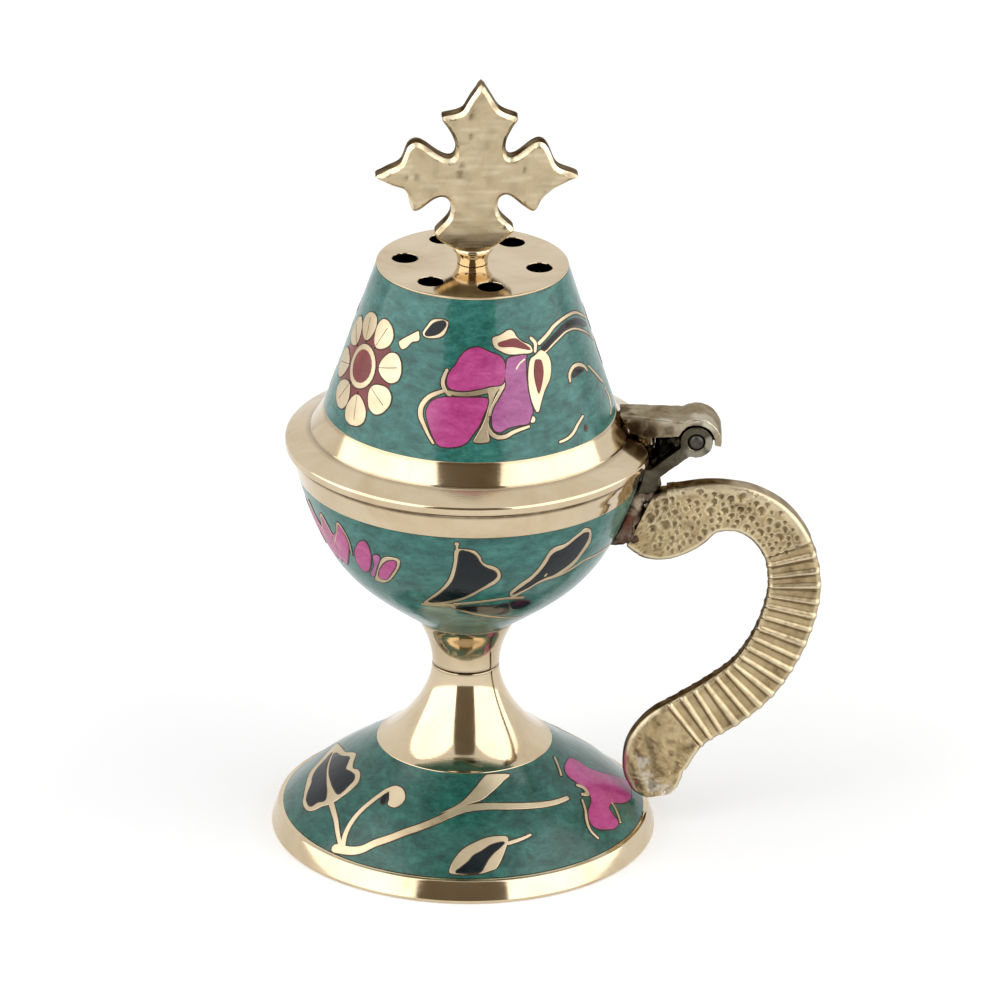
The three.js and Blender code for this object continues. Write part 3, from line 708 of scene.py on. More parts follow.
def ribbonOutline(band, points, widths):
    # a line of the given widths along its length, in true millimetres, with round ends
    spread = [(p[0], p[1], widthAt(widths, i / (len(points) - 1))) for i, p in enumerate(points)]
    line = smoothOpen(spread)
    left, right = [], []
    ends = []
    for i, (degrees, along, width) in enumerate(line):
        before = line[max(i - 1, 0)]
        after = line[min(i + 1, len(line) - 1)]
        radius = bandSpot(band, along)[0][0]
        dx = math.radians(after[0] - before[0]) * radius
        dy = after[1] - before[1]
        length = math.hypot(dx, dy) or 1
        nx, ny = -dy / length, dx / length
        half = width / 2
        left.append((degrees + math.degrees(nx * half / radius), along + ny * half))
        right.append((degrees - math.degrees(nx * half / radius), along - ny * half))
        ends.append((degrees, along, radius, dx / length, dy / length, half))

    def cap(end, sign):
        degrees, along, radius, tx, ty, half = end
        spots = []
        for k in (1, 2, 3):
            turn = math.pi * k / 4
            forward = math.sin(turn) * half * sign
            side = math.cos(turn) * half * sign
            x = tx * forward - ty * side
            y = ty * forward + tx * side
            spots.append((degrees + math.degrees(x / radius), along + y))
        return spots
    return left + cap(ends[-1], 1) + right[::-1] + cap(ends[0], -1)


def widthAt(widths, share):
    if len(widths) == 1:
        return widths[0]
    place = share * (len(widths) - 1)
    low = min(int(place), len(widths) - 2)
    return widths[low] + (widths[low + 1] - widths[low]) * (place - low)


def discOutline(band, degrees, along, reach, count=20):
    radius = bandSpot(band, along)[0][0]
    spots = []
    for i in range(count):
        turn = 2 * math.pi * i / count
        across = math.cos(turn) * reach
        spots.append((degrees + math.degrees(across / radius), along + math.sin(turn) * reach))
    return spots


def growOutline(band, outline, reach):
    # the same cell, wider all round by the given millimetres
    count = len(outline)
    area = sum(outline[i - 1][0] * outline[i][1] - outline[i][0] * outline[i - 1][1] for i in range(count))
    sign = 1 if area > 0 else -1
    wide = []
    for i, (degrees, along) in enumerate(outline):
        before = outline[i - 1]
        after = outline[(i + 1) % count]
        radius = bandSpot(band, along)[0][0]
        dx = math.radians(after[0] - before[0]) * radius
        dy = after[1] - before[1]
        push = reach * sign / (math.hypot(dx, dy) or 1)
        wide.append((degrees + math.degrees(dy * push / radius), along - dx * push))
    return wide


# where the cells are cut, and how far the dark lines reach past them, in millimetres
inlayCut = {"first": 0.5, "across": 1.05, "along": 1.15}
inlayReach = {"edges": 0.2, "shade": 0.17}


def makeInlay(name, band, outlines, lift, finish, body, thickness=0.3, edge=0.06, step=0.003):
    # outlines: lists of (degrees, along), each one closed cell
    deselectAll()
    piece = None
    for index, outline in enumerate(outlines):
        rise = lift + step * (index % 5)
        bpy.ops.mesh.primitive_circle_add(vertices=len(outline), radius=1, fill_type="NGON")
        if piece is None:
            piece = takeNew(name)
            bpy.ops.object.mode_set(mode="EDIT")
        mesh = bmesh.from_edit_mesh(piece.data)
        first = min((v for v in mesh.verts if v.select), key=lambda v: v.index)
        for corner, (degrees, along) in zip(list(first.link_faces[0].verts), outline):
            corner.co = Vector((math.radians(degrees) * flatRadius, along, rise - thickness))
        bmesh.update_edit_mesh(piece.data)
    spots = [v.co for v in bmesh.from_edit_mesh(piece.data).verts]
    margin = inlayCut["first"]
    acrossCuts = stepsFrom(min(s.x for s in spots) + margin, max(s.x for s in spots), inlayCut["across"])
    alongCuts = stepsFrom(min(s.y for s in spots) + margin, max(s.y for s in spots), inlayCut["along"])
    cutMesh((1, 0, 0), acrossCuts)
    cutMesh((0, 1, 0), alongCuts)
    faceOutwards()
    if sum(f.normal.z for f in bmesh.from_edit_mesh(piece.data).faces) < 0:
        bpy.ops.mesh.flip_normals()
    bpy.ops.mesh.extrude_region_move(TRANSFORM_OT_translate={"value": (0, 0, thickness - edge * 0.7)})
    bpy.ops.mesh.inset(thickness=edge, depth=edge * 0.7, use_even_offset=False)
    selectMesh()
    bpy.ops.mesh.quads_convert_to_tris()
    bpy.ops.mesh.normals_make_consistent(inside=False)
    bpy.ops.object.mode_set(mode="OBJECT")
    for vertex in piece.data.vertices:
        (radius, height), (outX, outZ) = bandSpot(band, vertex.co.y)
        turn = vertex.co.x / flatRadius
        radius += vertex.co.z * outX
        height += vertex.co.z * outZ
        vertex.co = Vector((axisX + radius * math.sin(turn) * mm, -radius * math.cos(turn) * mm, height * mm))
    piece.data.update()
    smoothUnder(smoothing["inlay"])
    return dressPiece(piece, finish, body)


# The pattern, as drawn on each band: cells are closed outlines, lines have widths
patterns = {}
patterns["lid"] = {
    "turns": (0, 180),
    "brass": [
        [(-39.0, 16.26), (-38.2, 16.78), (-34.4, 17.67), (-29.6, 18.66), (-28.4, 18.66), (-27.6, 17.48),
         (-31.4, 16.95), (-33.7, 16.04), (-36.4, 15.54)],
        [(-26.1, 18.78), (-24.3, 19.78), (-21.9, 20.78), (-17.4, 21.12), (-13.3, 20.95), (-12.6, 20.37),
         (-13.8, 19.15), (-16.3, 18.46), (-21.7, 18.09), (-25.1, 18.23)],
        [(8.8, 11.02), (14.4, 11.36), (11.9, 10.36), (9.9, 8.9), (8.4, 7.14), (7.5, 5.2), (8.2, 3.87),
         (7.7, 3.12), (2.1, 3.15), (3.7, 4.5), (6.3, 6.26), (8.1, 8.19), (8.7, 9.68)],
        [(11.7, 18.58), (15.5, 18.95), (20.2, 19.56), (22.9, 19.33), (24.8, 18.35), (27.9, 17.46),
         (31.6, 16.81), (32.2, 15.72), (25.4, 15.76), (19.1, 16.0), (14.5, 16.72), (12.0, 17.38)],
        [(37.6, 15.7), (33.6, 15.17), (30.4, 14.62), (28.3, 12.46), (27.8, 10.21), (28.5, 8.36),
         (29.8, 6.93), (31.2, 6.84), (32.8, 7.94), (35.9, 9.71), (39.9, 11.24), (41.9, 13.09),
         (41.2, 14.67)],
    ],
    "lines": [
        ([(-11.2, 13.68), (-12.7, 12.14), (-11.9, 10.97), (-8.9, 9.85)], [0.45, 0.6, 0.4]),
        ([(-12.2, 10.52), (-18.0, 9.52), (-21.2, 8.02), (-21.3, 6.49), (-19.2, 5.12), (-16.5, 3.58),
          (-14.5, 2.62)], [0.5, 0.75, 0.75, 0.45, 0.35]),
        ([(-9.9, 10.42), (-3.5, 10.2), (3.7, 10.52), (10.2, 10.98), (15.4, 11.4)], [0.5, 0.7, 0.7]),
        ([(16.6, 11.7), (13.9, 10.5), (11.2, 9.0), (9.0, 7.2)], [0.5, 0.5]),
        ([(8.0, 6.69), (7.5, 5.65), (9.1, 4.45), (11.5, 3.8), (14.9, 3.8), (18.3, 4.3), (21.5, 4.6),
          (25.6, 4.86)], [0.4, 0.6, 0.6, 0.4]),
        ([(32.8, 17.81), (34.8, 16.93), (34.0, 15.77)], [0.5, 0.6, 0.5]),
        ([(37.1, 16.78), (43.1, 17.61), (49.3, 18.52), (56.9, 18.94), (65.6, 18.9), (74.4, 18.21),
          (88.7, 15.67)], [0.6, 0.6, 0.5, 0.4, 0.35]),
        ([(39.8, 15.24), (45.9, 16.0), (51.9, 16.58), (58.5, 16.92), (67.6, 16.37), (79.5, 14.36),
          (88.6, 12.09)], [0.3, 0.3]),
        ([(51.6, 9.74), (52.4, 10.75), (56.0, 11.48), (60.3, 11.42), (64.9, 10.65), (66.6, 9.8)],
         [0.45, 0.6, 0.4]),
        ([(69.5, 10.09), (74.6, 8.12), (79.4, 6.29)], [0.35, 0.5]),
        ([(80.7, 5.0), (82.7, 3.4), (81.3, 1.9), (77.4, 1.2)], [0.4, 0.5, 0.4]),
        ([(54.4, 3.95), (50.3, 3.16), (47.0, 2.27), (43.3, 1.71), (38.9, 1.52)], [0.4, 0.5, 0.35]),
    ],
    "discs": [(27.6, 5.8, 0.5), (54.5, 2.05, 0.4)],
    "magenta": [
        [(-1.8, 16.84), (3.8, 17.3), (9.9, 16.51), (14.9, 15.81), (17.1, 14.43), (15.5, 11.75),
         (9.3, 11.45), (4.7, 11.1), (-2.2, 10.73), (-8.1, 10.88), (-10.4, 11.45), (-10.7, 12.5),
         (-9.5, 13.58), (-7.0, 14.62), (-5.2, 15.75)],
        [(-16.4, 8.99), (-11.1, 9.65), (0.1, 9.8), (7.6, 9.64), (7.9, 8.64), (6.1, 7.17), (4.3, 5.68),
         (1.4, 4.2), (-1.2, 2.99), (-5.5, 2.32), (-11.6, 2.29), (-14.3, 3.28), (-17.1, 5.19),
         (-18.9, 6.96), (-18.2, 8.06)],
    ],
    "purple": [
        [(16.7, 11.35), (14.2, 9.92), (11.3, 8.5), (9.8, 7.13), (9.6, 5.64), (10.8, 4.72), (13.3, 4.5),
         (16.4, 5.01), (21.7, 5.25), (25.3, 5.27), (27.2, 6.21), (28.3, 7.13), (27.7, 8.69), (27.3, 10.21),
         (27.3, 12.48), (28.0, 14.42), (28.6, 15.5), (24.3, 15.6), (18.9, 15.4), (17.5, 14.26),
         (16.6, 12.79)],
    ],
    "maroon": [
        [(14.2, 17.79), (18.1, 18.12), (23.7, 18.24), (27.3, 17.48), (30.9, 16.56), (31.1, 16.1),
         (25.9, 16.59), (21.6, 16.96), (15.2, 17.17)],
        [(35.0, 14.48), (36.8, 14.08), (36.8, 12.41), (34.6, 10.53), (32.4, 9.41), (31.5, 10.8),
         (31.4, 12.73), (33.0, 14.36)],
    ],
    "black": [
        [(-24.4, 18.5), (-22.6, 19.58), (-20.0, 20.43), (-16.2, 20.83), (-14.4, 20.75), (-14.1, 20.2),
         (-16.7, 19.19), (-20.4, 18.6)],
        [(38.5, 16.03), (44.7, 16.85), (51.3, 17.6), (58.5, 18.05), (66.6, 17.95), (75.4, 17.0),
         (84.0, 15.2), (77.7, 15.7), (68.6, 16.92), (58.3, 17.41), (51.6, 17.03), (45.4, 16.35),
         (40.8, 15.61)],
        [(54.2, 10.11), (56.5, 10.84), (60.1, 10.83), (63.4, 10.23), (58.6, 10.16)],
    ],
    "marks": [([(22.6, 13.66), (24.6, 14.4), (27.4, 14.9)], [0.3, 0.35])],
}
patterns["bowl"] = {
    "turns": (0, 180),
    "brass": [
        [(-39.5, 19.51), (-35.5, 22.33), (-33.4, 24.1), (-30.6, 25.29), (-27.6, 25.55), (-24.7, 25.37),
         (-25.5, 23.82), (-28.1, 22.01), (-31.5, 20.22), (-35.3, 19.1), (-38.5, 18.97)],
        [(-4.0, 28.79), (-1.3, 29.06), (1.4, 28.9), (3.1, 28.49), (4.7, 27.47), (5.3, 26.54), (7.2, 25.79),
         (9.0, 25.55), (11.3, 24.84), (12.5, 23.72), (12.5, 22.62), (11.2, 21.76), (8.7, 20.9),
         (5.7, 20.01), (2.3, 18.75), (-1.8, 17.64), (-7.0, 16.59), (-12.5, 15.79), (-19.1, 15.51),
         (-14.8, 17.81), (-10.4, 19.9), (-7.3, 21.94), (-5.7, 23.77), (-4.5, 26.36)],
        [(17.8, 19.01), (21.0, 20.98), (24.5, 22.27), (27.0, 23.78), (28.8, 25.69), (30.1, 27.17),
         (32.2, 27.74), (35.9, 27.89), (38.8, 28.68), (41.2, 29.3), (43.5, 29.9), (46.9, 29.05),
         (48.9, 26.8), (48.4, 25.69), (46.9, 24.54), (45.2, 23.15), (43.1, 22.21), (39.3, 21.44),
         (35.5, 20.85), (31.9, 20.71), (28.3, 20.17), (25.4, 19.27), (22.4, 18.41), (19.9, 17.54)],
    ],
    "lines": [
        ([(-19.8, 15.2), (-11.7, 15.6), (-4.4, 16.1)], [0.6, 0.7, 0.7]),
        ([(-4.8, 16.3), (3.7, 16.97), (10.0, 17.4), (16.3, 17.65), (24.6, 17.24)], [0.6, 0.5, 0.55]),
        ([(-6.3, 15.5), (-0.5, 13.9), (6.9, 12.52), (15.5, 11.12), (26.2, 9.36), (34.9, 8.66)],
         [0.6, 0.5, 0.4]),
        ([(34.5, 20.98), (39.6, 21.2), (44.6, 21.77), (50.4, 22.54), (60.8, 22.25), (71.5, 22.12)],
         [0.35, 0.4, 0.35]),
        ([(-3.4, 28.43), (-3.3, 30.0)], [0.3, 0.35]),
    ],
    "discs": [(-3.4, 30.0, 0.35)],
    "magenta": [
        [(-36.6, 20.13), (-35.2, 21.77), (-32.2, 23.57), (-29.4, 24.64), (-26.4, 24.94), (-27.1, 23.61),
         (-29.6, 22.02), (-33.1, 20.23)],
        [(-46.6, 21.87), (-45.4, 24.13), (-42.8, 25.94), (-40.1, 27.15), (-37.7, 27.31), (-36.9, 25.88),
         (-37.7, 23.73), (-41.0, 21.07), (-44.6, 20.27)],
    ],
    "purple": [
        [(-36.1, 24.74), (-33.8, 25.31), (-33.1, 24.62), (-35.7, 22.53), (-39.2, 19.98), (-40.6, 20.42),
         (-37.2, 22.51)],
    ],
    "black": [
        [(-2.3, 28.55), (-0.3, 28.58), (1.4, 28.3), (3.1, 27.59), (4.3, 26.55), (5.8, 25.61), (8.0, 24.93),
         (9.9, 24.45), (11.0, 23.56), (10.3, 22.69), (8.2, 21.85), (5.3, 20.75), (2.2, 19.66),
         (-1.7, 18.45), (-6.8, 17.46), (-11.2, 16.79), (-16.3, 16.38), (-12.6, 17.97), (-8.9, 19.73),
         (-5.9, 21.53), (-4.2, 23.39), (-3.1, 25.97)],
        [(-4.6, 15.09), (-0.5, 15.7), (6.1, 15.85), (12.8, 15.78), (18.1, 16.06), (20.2, 14.4),
         (20.5, 12.6), (17.5, 12.17), (11.8, 12.95), (4.2, 13.99), (-1.4, 14.61)],
        [(19.4, 16.11), (21.4, 16.54), (26.4, 16.18), (29.8, 15.32), (29.2, 14.06), (26.0, 13.6),
         (21.8, 14.25)],
        [(19.3, 18.65), (20.9, 19.53), (23.3, 20.54), (25.7, 21.49), (28.2, 23.01), (30.2, 24.72),
         (31.1, 26.06), (32.8, 26.68), (35.6, 26.95), (38.2, 27.59), (40.4, 28.27), (42.2, 28.69),
         (43.6, 28.96), (45.9, 28.6), (46.6, 27.54), (46.1, 26.45), (45.0, 25.43), (43.6, 24.22),
         (41.5, 23.29), (38.4, 22.45), (34.9, 21.7), (31.8, 21.52), (28.6, 20.97), (25.7, 20.08),
         (22.7, 19.38)],
    ],
    "marks": [([(31.0, 21.95), (31.4, 22.3)], [0.5, 0.4])],
}
patterns["foot"] = {
    "turns": (0,),
    "brass": [
        [(-74.8, 3.21), (-79.0, 3.93), (-84.9, 4.67), (-90.3, 5.13), (-94.2, 5.59), (-98.2, 6.66),
         (-105.0, 7.68), (-113.0, 8.3), (-103.1, 10.59), (-92.4, 12.19), (-88.2, 13.32), (-83.1, 13.97),
         (-76.9, 13.14), (-72.0, 12.63), (-68.0, 13.07), (-63.5, 12.83), (-59.8, 11.87), (-59.0, 10.64),
         (-59.2, 9.45), (-60.0, 8.18), (-60.4, 7.42), (-61.8, 6.24), (-64.3, 5.23), (-66.2, 3.91),
         (-69.3, 3.11)],
    ],
    "lines": [([(-64.6, 6.94), (-58.7, 6.04), (-52.8, 4.78), (-48.0, 3.14), (-43.6, 1.51)],
               [1.0, 0.8, 0.7])],
    "magenta": [
        [(72.5, 14.49), (81.6, 14.28), (84.5, 12.54), (83.9, 11.01), (87.5, 8.89), (92.4, 6.58),
         (96.8, 4.37), (97.4, 3.08), (92.0, 2.73), (84.4, 2.82), (77.4, 3.85), (72.3, 5.17), (68.2, 5.04),
         (66.9, 3.85), (66.3, 2.53), (62.6, 2.17), (57.8, 2.88), (54.6, 3.8), (54.0, 5.07), (56.8, 6.56),
         (62.5, 7.56), (65.1, 8.36), (65.9, 9.57), (66.0, 11.17), (65.4, 12.69), (67.1, 13.79)],
    ],
    "black": [
        [(-74.5, 3.98), (-78.2, 4.64), (-83.0, 5.77), (-87.2, 6.09), (-92.2, 6.82), (-96.7, 8.14),
         (-101.6, 9.06), (-92.5, 8.88), (-81.4, 8.37), (-74.0, 7.74), (-69.5, 7.18), (-65.9, 6.19),
         (-68.2, 5.18), (-69.5, 3.96)],
        [(-98.8, 9.85), (-90.9, 11.3), (-84.7, 12.7), (-80.3, 12.35), (-75.5, 11.57), (-71.1, 11.92),
         (-66.3, 12.05), (-63.3, 11.44), (-62.5, 10.18), (-62.1, 8.87), (-63.2, 8.27), (-68.2, 8.44),
         (-75.0, 8.77), (-82.0, 9.04), (-90.6, 9.49)],
    ],
    "marks": [
        ([(70.1, 16.4), (64.6, 14.6), (62.0, 13.8)], [0.4, 0.45]),
        ([(64.6, 10.97), (66.5, 10.0), (65.0, 8.9), (62.0, 9.4)], [0.5, 0.9, 0.5]),
        ([(59.2, 8.65), (56.3, 7.07), (53.2, 5.62), (51.5, 3.98), (52.3, 2.31)], [0.4, 0.55, 0.4]),
        ([(72.3, 5.17), (71.2, 4.33), (69.3, 3.28), (67.2, 2.31)], [0.4, 0.4]),
    ],
}
# the foot's stem with its bud and leaf runs across the front, and once more across the back
footStem = {
    "turns": (0, 171),
    "brass": [
        [(-36.8, 11.47), (-35.7, 10.59), (-32.1, 10.4), (-29.9, 11.01), (-29.3, 12.23), (-30.8, 13.23),
         (-33.8, 13.92), (-38.0, 13.98), (-39.8, 13.1)],
        [(-9.8, 10.87), (-3.8, 12.26), (1.0, 13.58), (6.7, 15.48), (12.2, 17.12), (16.5, 17.69),
         (29.5, 17.16), (24.0, 16.22), (19.3, 15.34), (14.6, 14.44), (10.9, 13.64), (7.6, 13.18),
         (1.1, 12.51)],
        [(-3.7, 0.99), (-3.2, 2.47), (-1.3, 4.0), (1.1, 5.11), (4.5, 5.93), (8.7, 6.66), (12.7, 6.87),
         (17.0, 6.7), (17.4, 5.99), (16.0, 4.86), (14.4, 3.59), (12.9, 2.49), (11.3, 1.57), (8.9, 1.17),
         (6.6, 0.87), (2.7, 0.75), (-1.1, 0.71)],
    ],
    "lines": [
        ([(-45.1, 0.9), (-39.4, 1.41), (-35.5, 2.26), (-31.9, 3.8), (-27.3, 5.22), (-22.5, 6.7),
          (-17.3, 7.98), (-11.7, 9.36), (-5.7, 10.81), (1.1, 11.87), (10.7, 12.23), (20.3, 11.89),
          (30.1, 11.33), (37.3, 10.85), (45.2, 10.4), (53.0, 10.2)],
         [1.5, 1.3, 1.2, 1.15, 1.2, 1.15, 1.0, 0.7]),
        ([(-42.9, 1.64), (-45.0, 3.69), (-45.9, 6.02), (-45.5, 8.17), (-44.1, 10.09), (-42.6, 11.55),
          (-41.0, 12.68), (-38.5, 13.52)], [0.9, 0.8, 0.8]),
        ([(17.1, 5.5), (20.4, 5.74), (23.8, 6.02), (26.6, 6.33)], [0.6, 0.4]),
    ],
    "black": [
        [(-1.7, 1.04), (0.1, 1.88), (2.5, 2.87), (4.2, 3.77), (7.2, 4.49), (10.3, 5.33), (13.4, 5.67),
         (15.6, 5.67), (13.8, 4.98), (11.0, 4.07), (9.0, 3.13), (7.4, 2.0), (5.9, 1.06), (2.1, 0.91)],
        [(-39.3, 10.35), (-40.7, 11.27), (-40.0, 12.06), (-38.8, 12.22), (-38.0, 11.3), (-37.7, 10.47)],
    ],
}


# the daisy on the lid and the lotus on the bowl, in degrees and millimetres along their bands
daisy = {
    "centre": (-59.8, 10.61),
    "petals": 8,
    "firstTurn": 15,
    "unevenTurn": 3,
    "petalLength": 0.91,
    "unevenLength": 0.04,
    "petal": [(4.5, 0), (5.2, 1.25), (6.9, 2.25), (8.5, 2.05), (9.3, 1.05), (9.45, 0), (9.3, -1.05),
              (8.5, -2.05), (6.9, -2.25), (5.2, -1.25)],
    "ground": 7.0,
    "ring": 3.4,
    "heart": 2.55,
}
lotus = {
    "foot": (-60.5, 17.2),
    "tips": [(-50.1, 28.95), (-60.9, 28.6), (-71.5, 28.9)],
    "edgeWidths": [0.25, 0.35, 0.25],
    "mirror": -121,
}


def turned(outline, degrees):
    return [(p[0] + degrees, p[1]) for p in outline]


def daisyCells(centre, along):
    # eight petals, the maroon ground that they lie on, and the ring round the maroon heart
    radius = bandSpot("lid", along)[0][0]
    petals = []
    for k in range(daisy["petals"]):
        even = 360 / daisy["petals"] * k + daisy["firstTurn"]
        turn = math.radians(even + daisy["unevenTurn"] * math.sin(1.7 * k))
        reach = daisy["petalLength"] + daisy["unevenLength"] * math.sin(2.3 * k)
        petals.append([(centre + math.degrees((x * reach * math.cos(turn) - y * math.sin(turn)) / radius),
                        along + x * reach * math.sin(turn) + y * math.cos(turn)) for x, y in daisy["petal"]])
    ground = discOutline("lid", centre, along, daisy["ground"], count=32)
    ring = discOutline("lid", centre, along, daisy["ring"], count=24)
    heart = discOutline("lid", centre, along, daisy["heart"])
    return petals, ground, ring, heart


def lotusCells():
    # petals fan out from the lotus's foot, mirrored about its middle
    foot = lotus["foot"]
    petals, edges = [], []
    for tip in lotus["tips"]:
        base = (foot[0] + (tip[0] - foot[0]) * 0.35, foot[1] + (tip[1] - foot[1]) * 0.2)
        middle = ((tip[0] + base[0]) / 2, (tip[1] + base[1]) / 2)
        petals.append([base, (middle[0] + 5.0, middle[1]), (tip[0] + 2.0, tip[1] - 1.8), tip,
                       (tip[0] - 2.0, tip[1] - 1.8), (middle[0] - 5.0, middle[1])])
        edges.append(([(middle[0] + 5.6, middle[1] - 1.0), (tip[0] + 3.2, tip[1] - 2.6), tip,
                       (tip[0] - 3.2, tip[1] - 2.6), (middle[0] - 5.6, middle[1] - 1.0)],
                      lotus["edgeWidths"]))
    return petals, edges


def collectCells(band, pattern, store):
    for shift in pattern["turns"]:
        for colour in ("brass", "magenta", "purple", "maroon", "black"):
            for outline in pattern.get(colour, []):
                store[colour].append(smoothClosed(turned(outline, shift)))
        for points, widths in pattern.get("lines", []):
            store["brass"].append(ribbonOutline(band, turned(points, shift), widths))
        for degrees, along, radius in pattern.get("discs", []):
            store["brass"].append(discOutline(band, degrees + shift, along, radius, count=14))
        for points, widths in pattern.get("marks", []):
            store["marks"].append(ribbonOutline(band, turned(points, shift), widths))


# how far each layer of cells stands out of the enamel, in millimetres
inlayLift = {"Edges": -0.02, "Shade": 0.034, "Ground": -0.005, "Brass": 0.018, "Magenta": 0.045,
             "Purple": 0.047, "Maroon": 0.085, "Black": 0.05, "Marks": 0.06, "Ridges": 0.082}


def addDaisy(shift, store, ridges):
    centre = daisy["centre"][0] + shift

    def inward(spot):
        # a little nearer to the flower's middle
        return (spot[0] + (centre - spot[0]) * 0.1, spot[1] + (daisy["centre"][1] - spot[1]) * 0.1)

    petals, disc, ring, heart = daisyCells(centre, daisy["centre"][1])
    store["marks"].extend(smoothClosed(petal, 4) for petal in petals)
    store["marks"].append(ring)
    store["maroon"].append(heart)
    for petal in petals:
        ridges.append(ribbonOutline("lid", [inward(petal[0]), inward(petal[5])], [0.08, 0.13]))
    return disc


def addLotus(shift, store):
    # its side petals are the other flower's, mirrored
    def mirrored(cell):
        return smoothClosed(turned([(lotus["mirror"] - x, y) for x, y in cell], shift))

    petals, edges = lotusCells()
    store["magenta"].extend(smoothClosed(turned(petal, shift)) for petal in petals)
    store["magenta"].extend(mirrored(cell) for cell in patterns["bowl"]["magenta"])
    store["marks"].extend(ribbonOutline("bowl", turned(points, shift), widths) for points, widths in edges)
    store["brass"].append(mirrored(patterns["bowl"]["brass"][0]))


def inlayBand(band, body):
    store = {"brass": [], "magenta": [], "purple": [], "maroon": [], "black": [], "marks": []}
    collectCells(band, patterns[band], store)
    ground = []
    ridges = []
    if band == "foot":
        collectCells(band, footStem, store)
    for shift in (0, 180):
        if band == "lid":
            ground.append(addDaisy(shift, store, ridges))
        if band == "bowl":
            addLotus(shift, store)

    def lay(kind, cells, finish, **more):
        if cells:
            makeInlay(band + "Inlay" + kind, band, cells, inlayLift[kind], finish, body, **more)

    # a dark line of patina and painted shade shows round every metal cell and round every colour that lies on
    # metal
    lying = store["magenta"] + store["purple"] + store["black"] + store["marks"]
    metalEdges = [growOutline(band, cell, inlayReach["edges"]) for cell in store["brass"]]
    colourEdges = [growOutline(band, cell, inlayReach["shade"]) for cell in lying]
    lay("Edges", metalEdges, "grooveAndShade", edge=0.03, step=0.001)
    lay("Shade", colourEdges, "grooveAndShade", edge=0.03, step=0.0015)
    lay("Ground", ground, "maroon")
    lay("Brass", store["brass"], "inlay", edge=0.05)
    for colour in ("magenta", "purple", "maroon", "black"):
        lay(colour.capitalize(), store[colour], colour, edge=0.04)
    lay("Marks", store["marks"], "inlay")
    lay("Ridges", ridges, "grooveAndShade", edge=0.02, step=0.0)


inlayBand("lid", "lid")
inlayBand("bowl", "base")
inlayBand("foot", "base")
print("enamel cells laid")


# The handle's centre line from the bowl to the foot: distance out from the turned axis, height,
# half width, in millimetres
handle = {
    "line": [
        (24.7, 51.3, 4.4), (26.3, 51.1, 5.4), (28.9, 50.9, 6.1), (32.2, 51.8, 5.7), (36.0, 53.4, 4.5),
        (39.15, 53.77, 4.02), (42.5, 53.2, 3.88), (46.0, 51.0, 3.95), (48.6, 47.2, 4.0), (49.8, 42.1, 4.2),
        (49.5, 37.5, 4.25), (47.6, 31.4, 4.28), (44.2, 25.6, 4.4), (39.6, 21.4, 4.6), (34.8, 18.2, 4.6),
        (31.7, 15.6, 5.1), (29.9, 12.9, 5.3), (29.2, 10.4, 5.0), (29.4, 8.1, 4.3), (29.7, 6.5, 3.4),
        (29.9, 5.5, 2.1)],
    "thickness": 3.1,
    "endSlant": 2.7,
    "stations": 760,
    "ribs": 18,
    "ribSpan": (0.345, 0.845),
    "ribDepth": 0.34,
    "rimWidth": 1.3,
    "corner": 0.8,
    "pitSeed": 7,
    "pitTries": 1400,
    # punched pits on the front: distance out, height, radius
    "pits": [
        (29.77, 54.85, 0.61), (30.82, 55.2, 0.48), (31.32, 53.07, 0.56), (29.86, 51.06, 0.8),
        (28.06, 50.36, 0.61), (27.56, 52.0, 0.77), (32.46, 56.22, 0.36), (35.02, 56.61, 0.68),
        (34.62, 54.62, 0.52), (37.19, 54.84, 0.61), (36.77, 53.34, 0.72), (33.57, 54.1, 0.28),
        (38.89, 53.39, 0.64), (39.75, 55.22, 0.69), (41.4, 55.91, 0.87), (39.39, 51.74, 0.4),
        (38.17, 51.89, 0.48), (33.97, 50.48, 0.4), (32.14, 50.77, 0.32), (35.93, 50.85, 0.36),
        (41.31, 53.6, 0.6), (40.76, 51.61, 0.44), (42.3, 50.65, 0.68), (43.01, 52.15, 0.56),
        (44.49, 53.5, 0.72), (45.37, 54.51, 0.52), (45.75, 51.87, 0.56), (44.44, 50.03, 0.6),
        (47.38, 53.23, 0.4), (49.28, 50.46, 0.36), (47.34, 49.26, 0.65), (43.51, 56.12, 0.4),
        (45.63, 56.16, 0.36), (48.03, 51.59, 0.36), (29.16, 48.73, 0.48), (30.98, 48.76, 0.44),
        (33.09, 49.3, 0.52), (28.43, 47.39, 0.36), (30.41, 47.1, 0.36), (35.12, 52.65, 0.36),
        (33.17, 52.12, 0.32), (42.64, 54.62, 0.32)],
    # chalky wear and the dark hooked stroke on the lower tip: distance out, height, reach
    "chalk": [(27.4, 11.2, 1.3), (27.7, 8.9, 1.3), (29.2, 7.3, 1.6), (31.0, 6.6, 1.3)],
    "stroke": [(27.9, 15.0), (28.6, 13.4), (29.1, 11.8), (29.5, 10.2), (30.4, 9.2)],
}


def handleStations():
    fine = smoothOpen(handle["line"], 60)
    lengths = [0.0]
    for a, b in zip(fine, fine[1:]):
        lengths.append(lengths[-1] + math.hypot(b[0] - a[0], b[1] - a[1]))
    total = lengths[-1]
    stations = []
    index = 0
    for i in range(handle["stations"] + 1):
        goal = total * i / handle["stations"]
        while index < len(lengths) - 2 and lengths[index + 1] < goal:
            index += 1
        t = (goal - lengths[index]) / (lengths[index + 1] - lengths[index])
        a, b = fine[index], fine[index + 1]
        stations.append(tuple(a[k] + (b[k] - a[k]) * t for k in range(3)))
    return stations, total


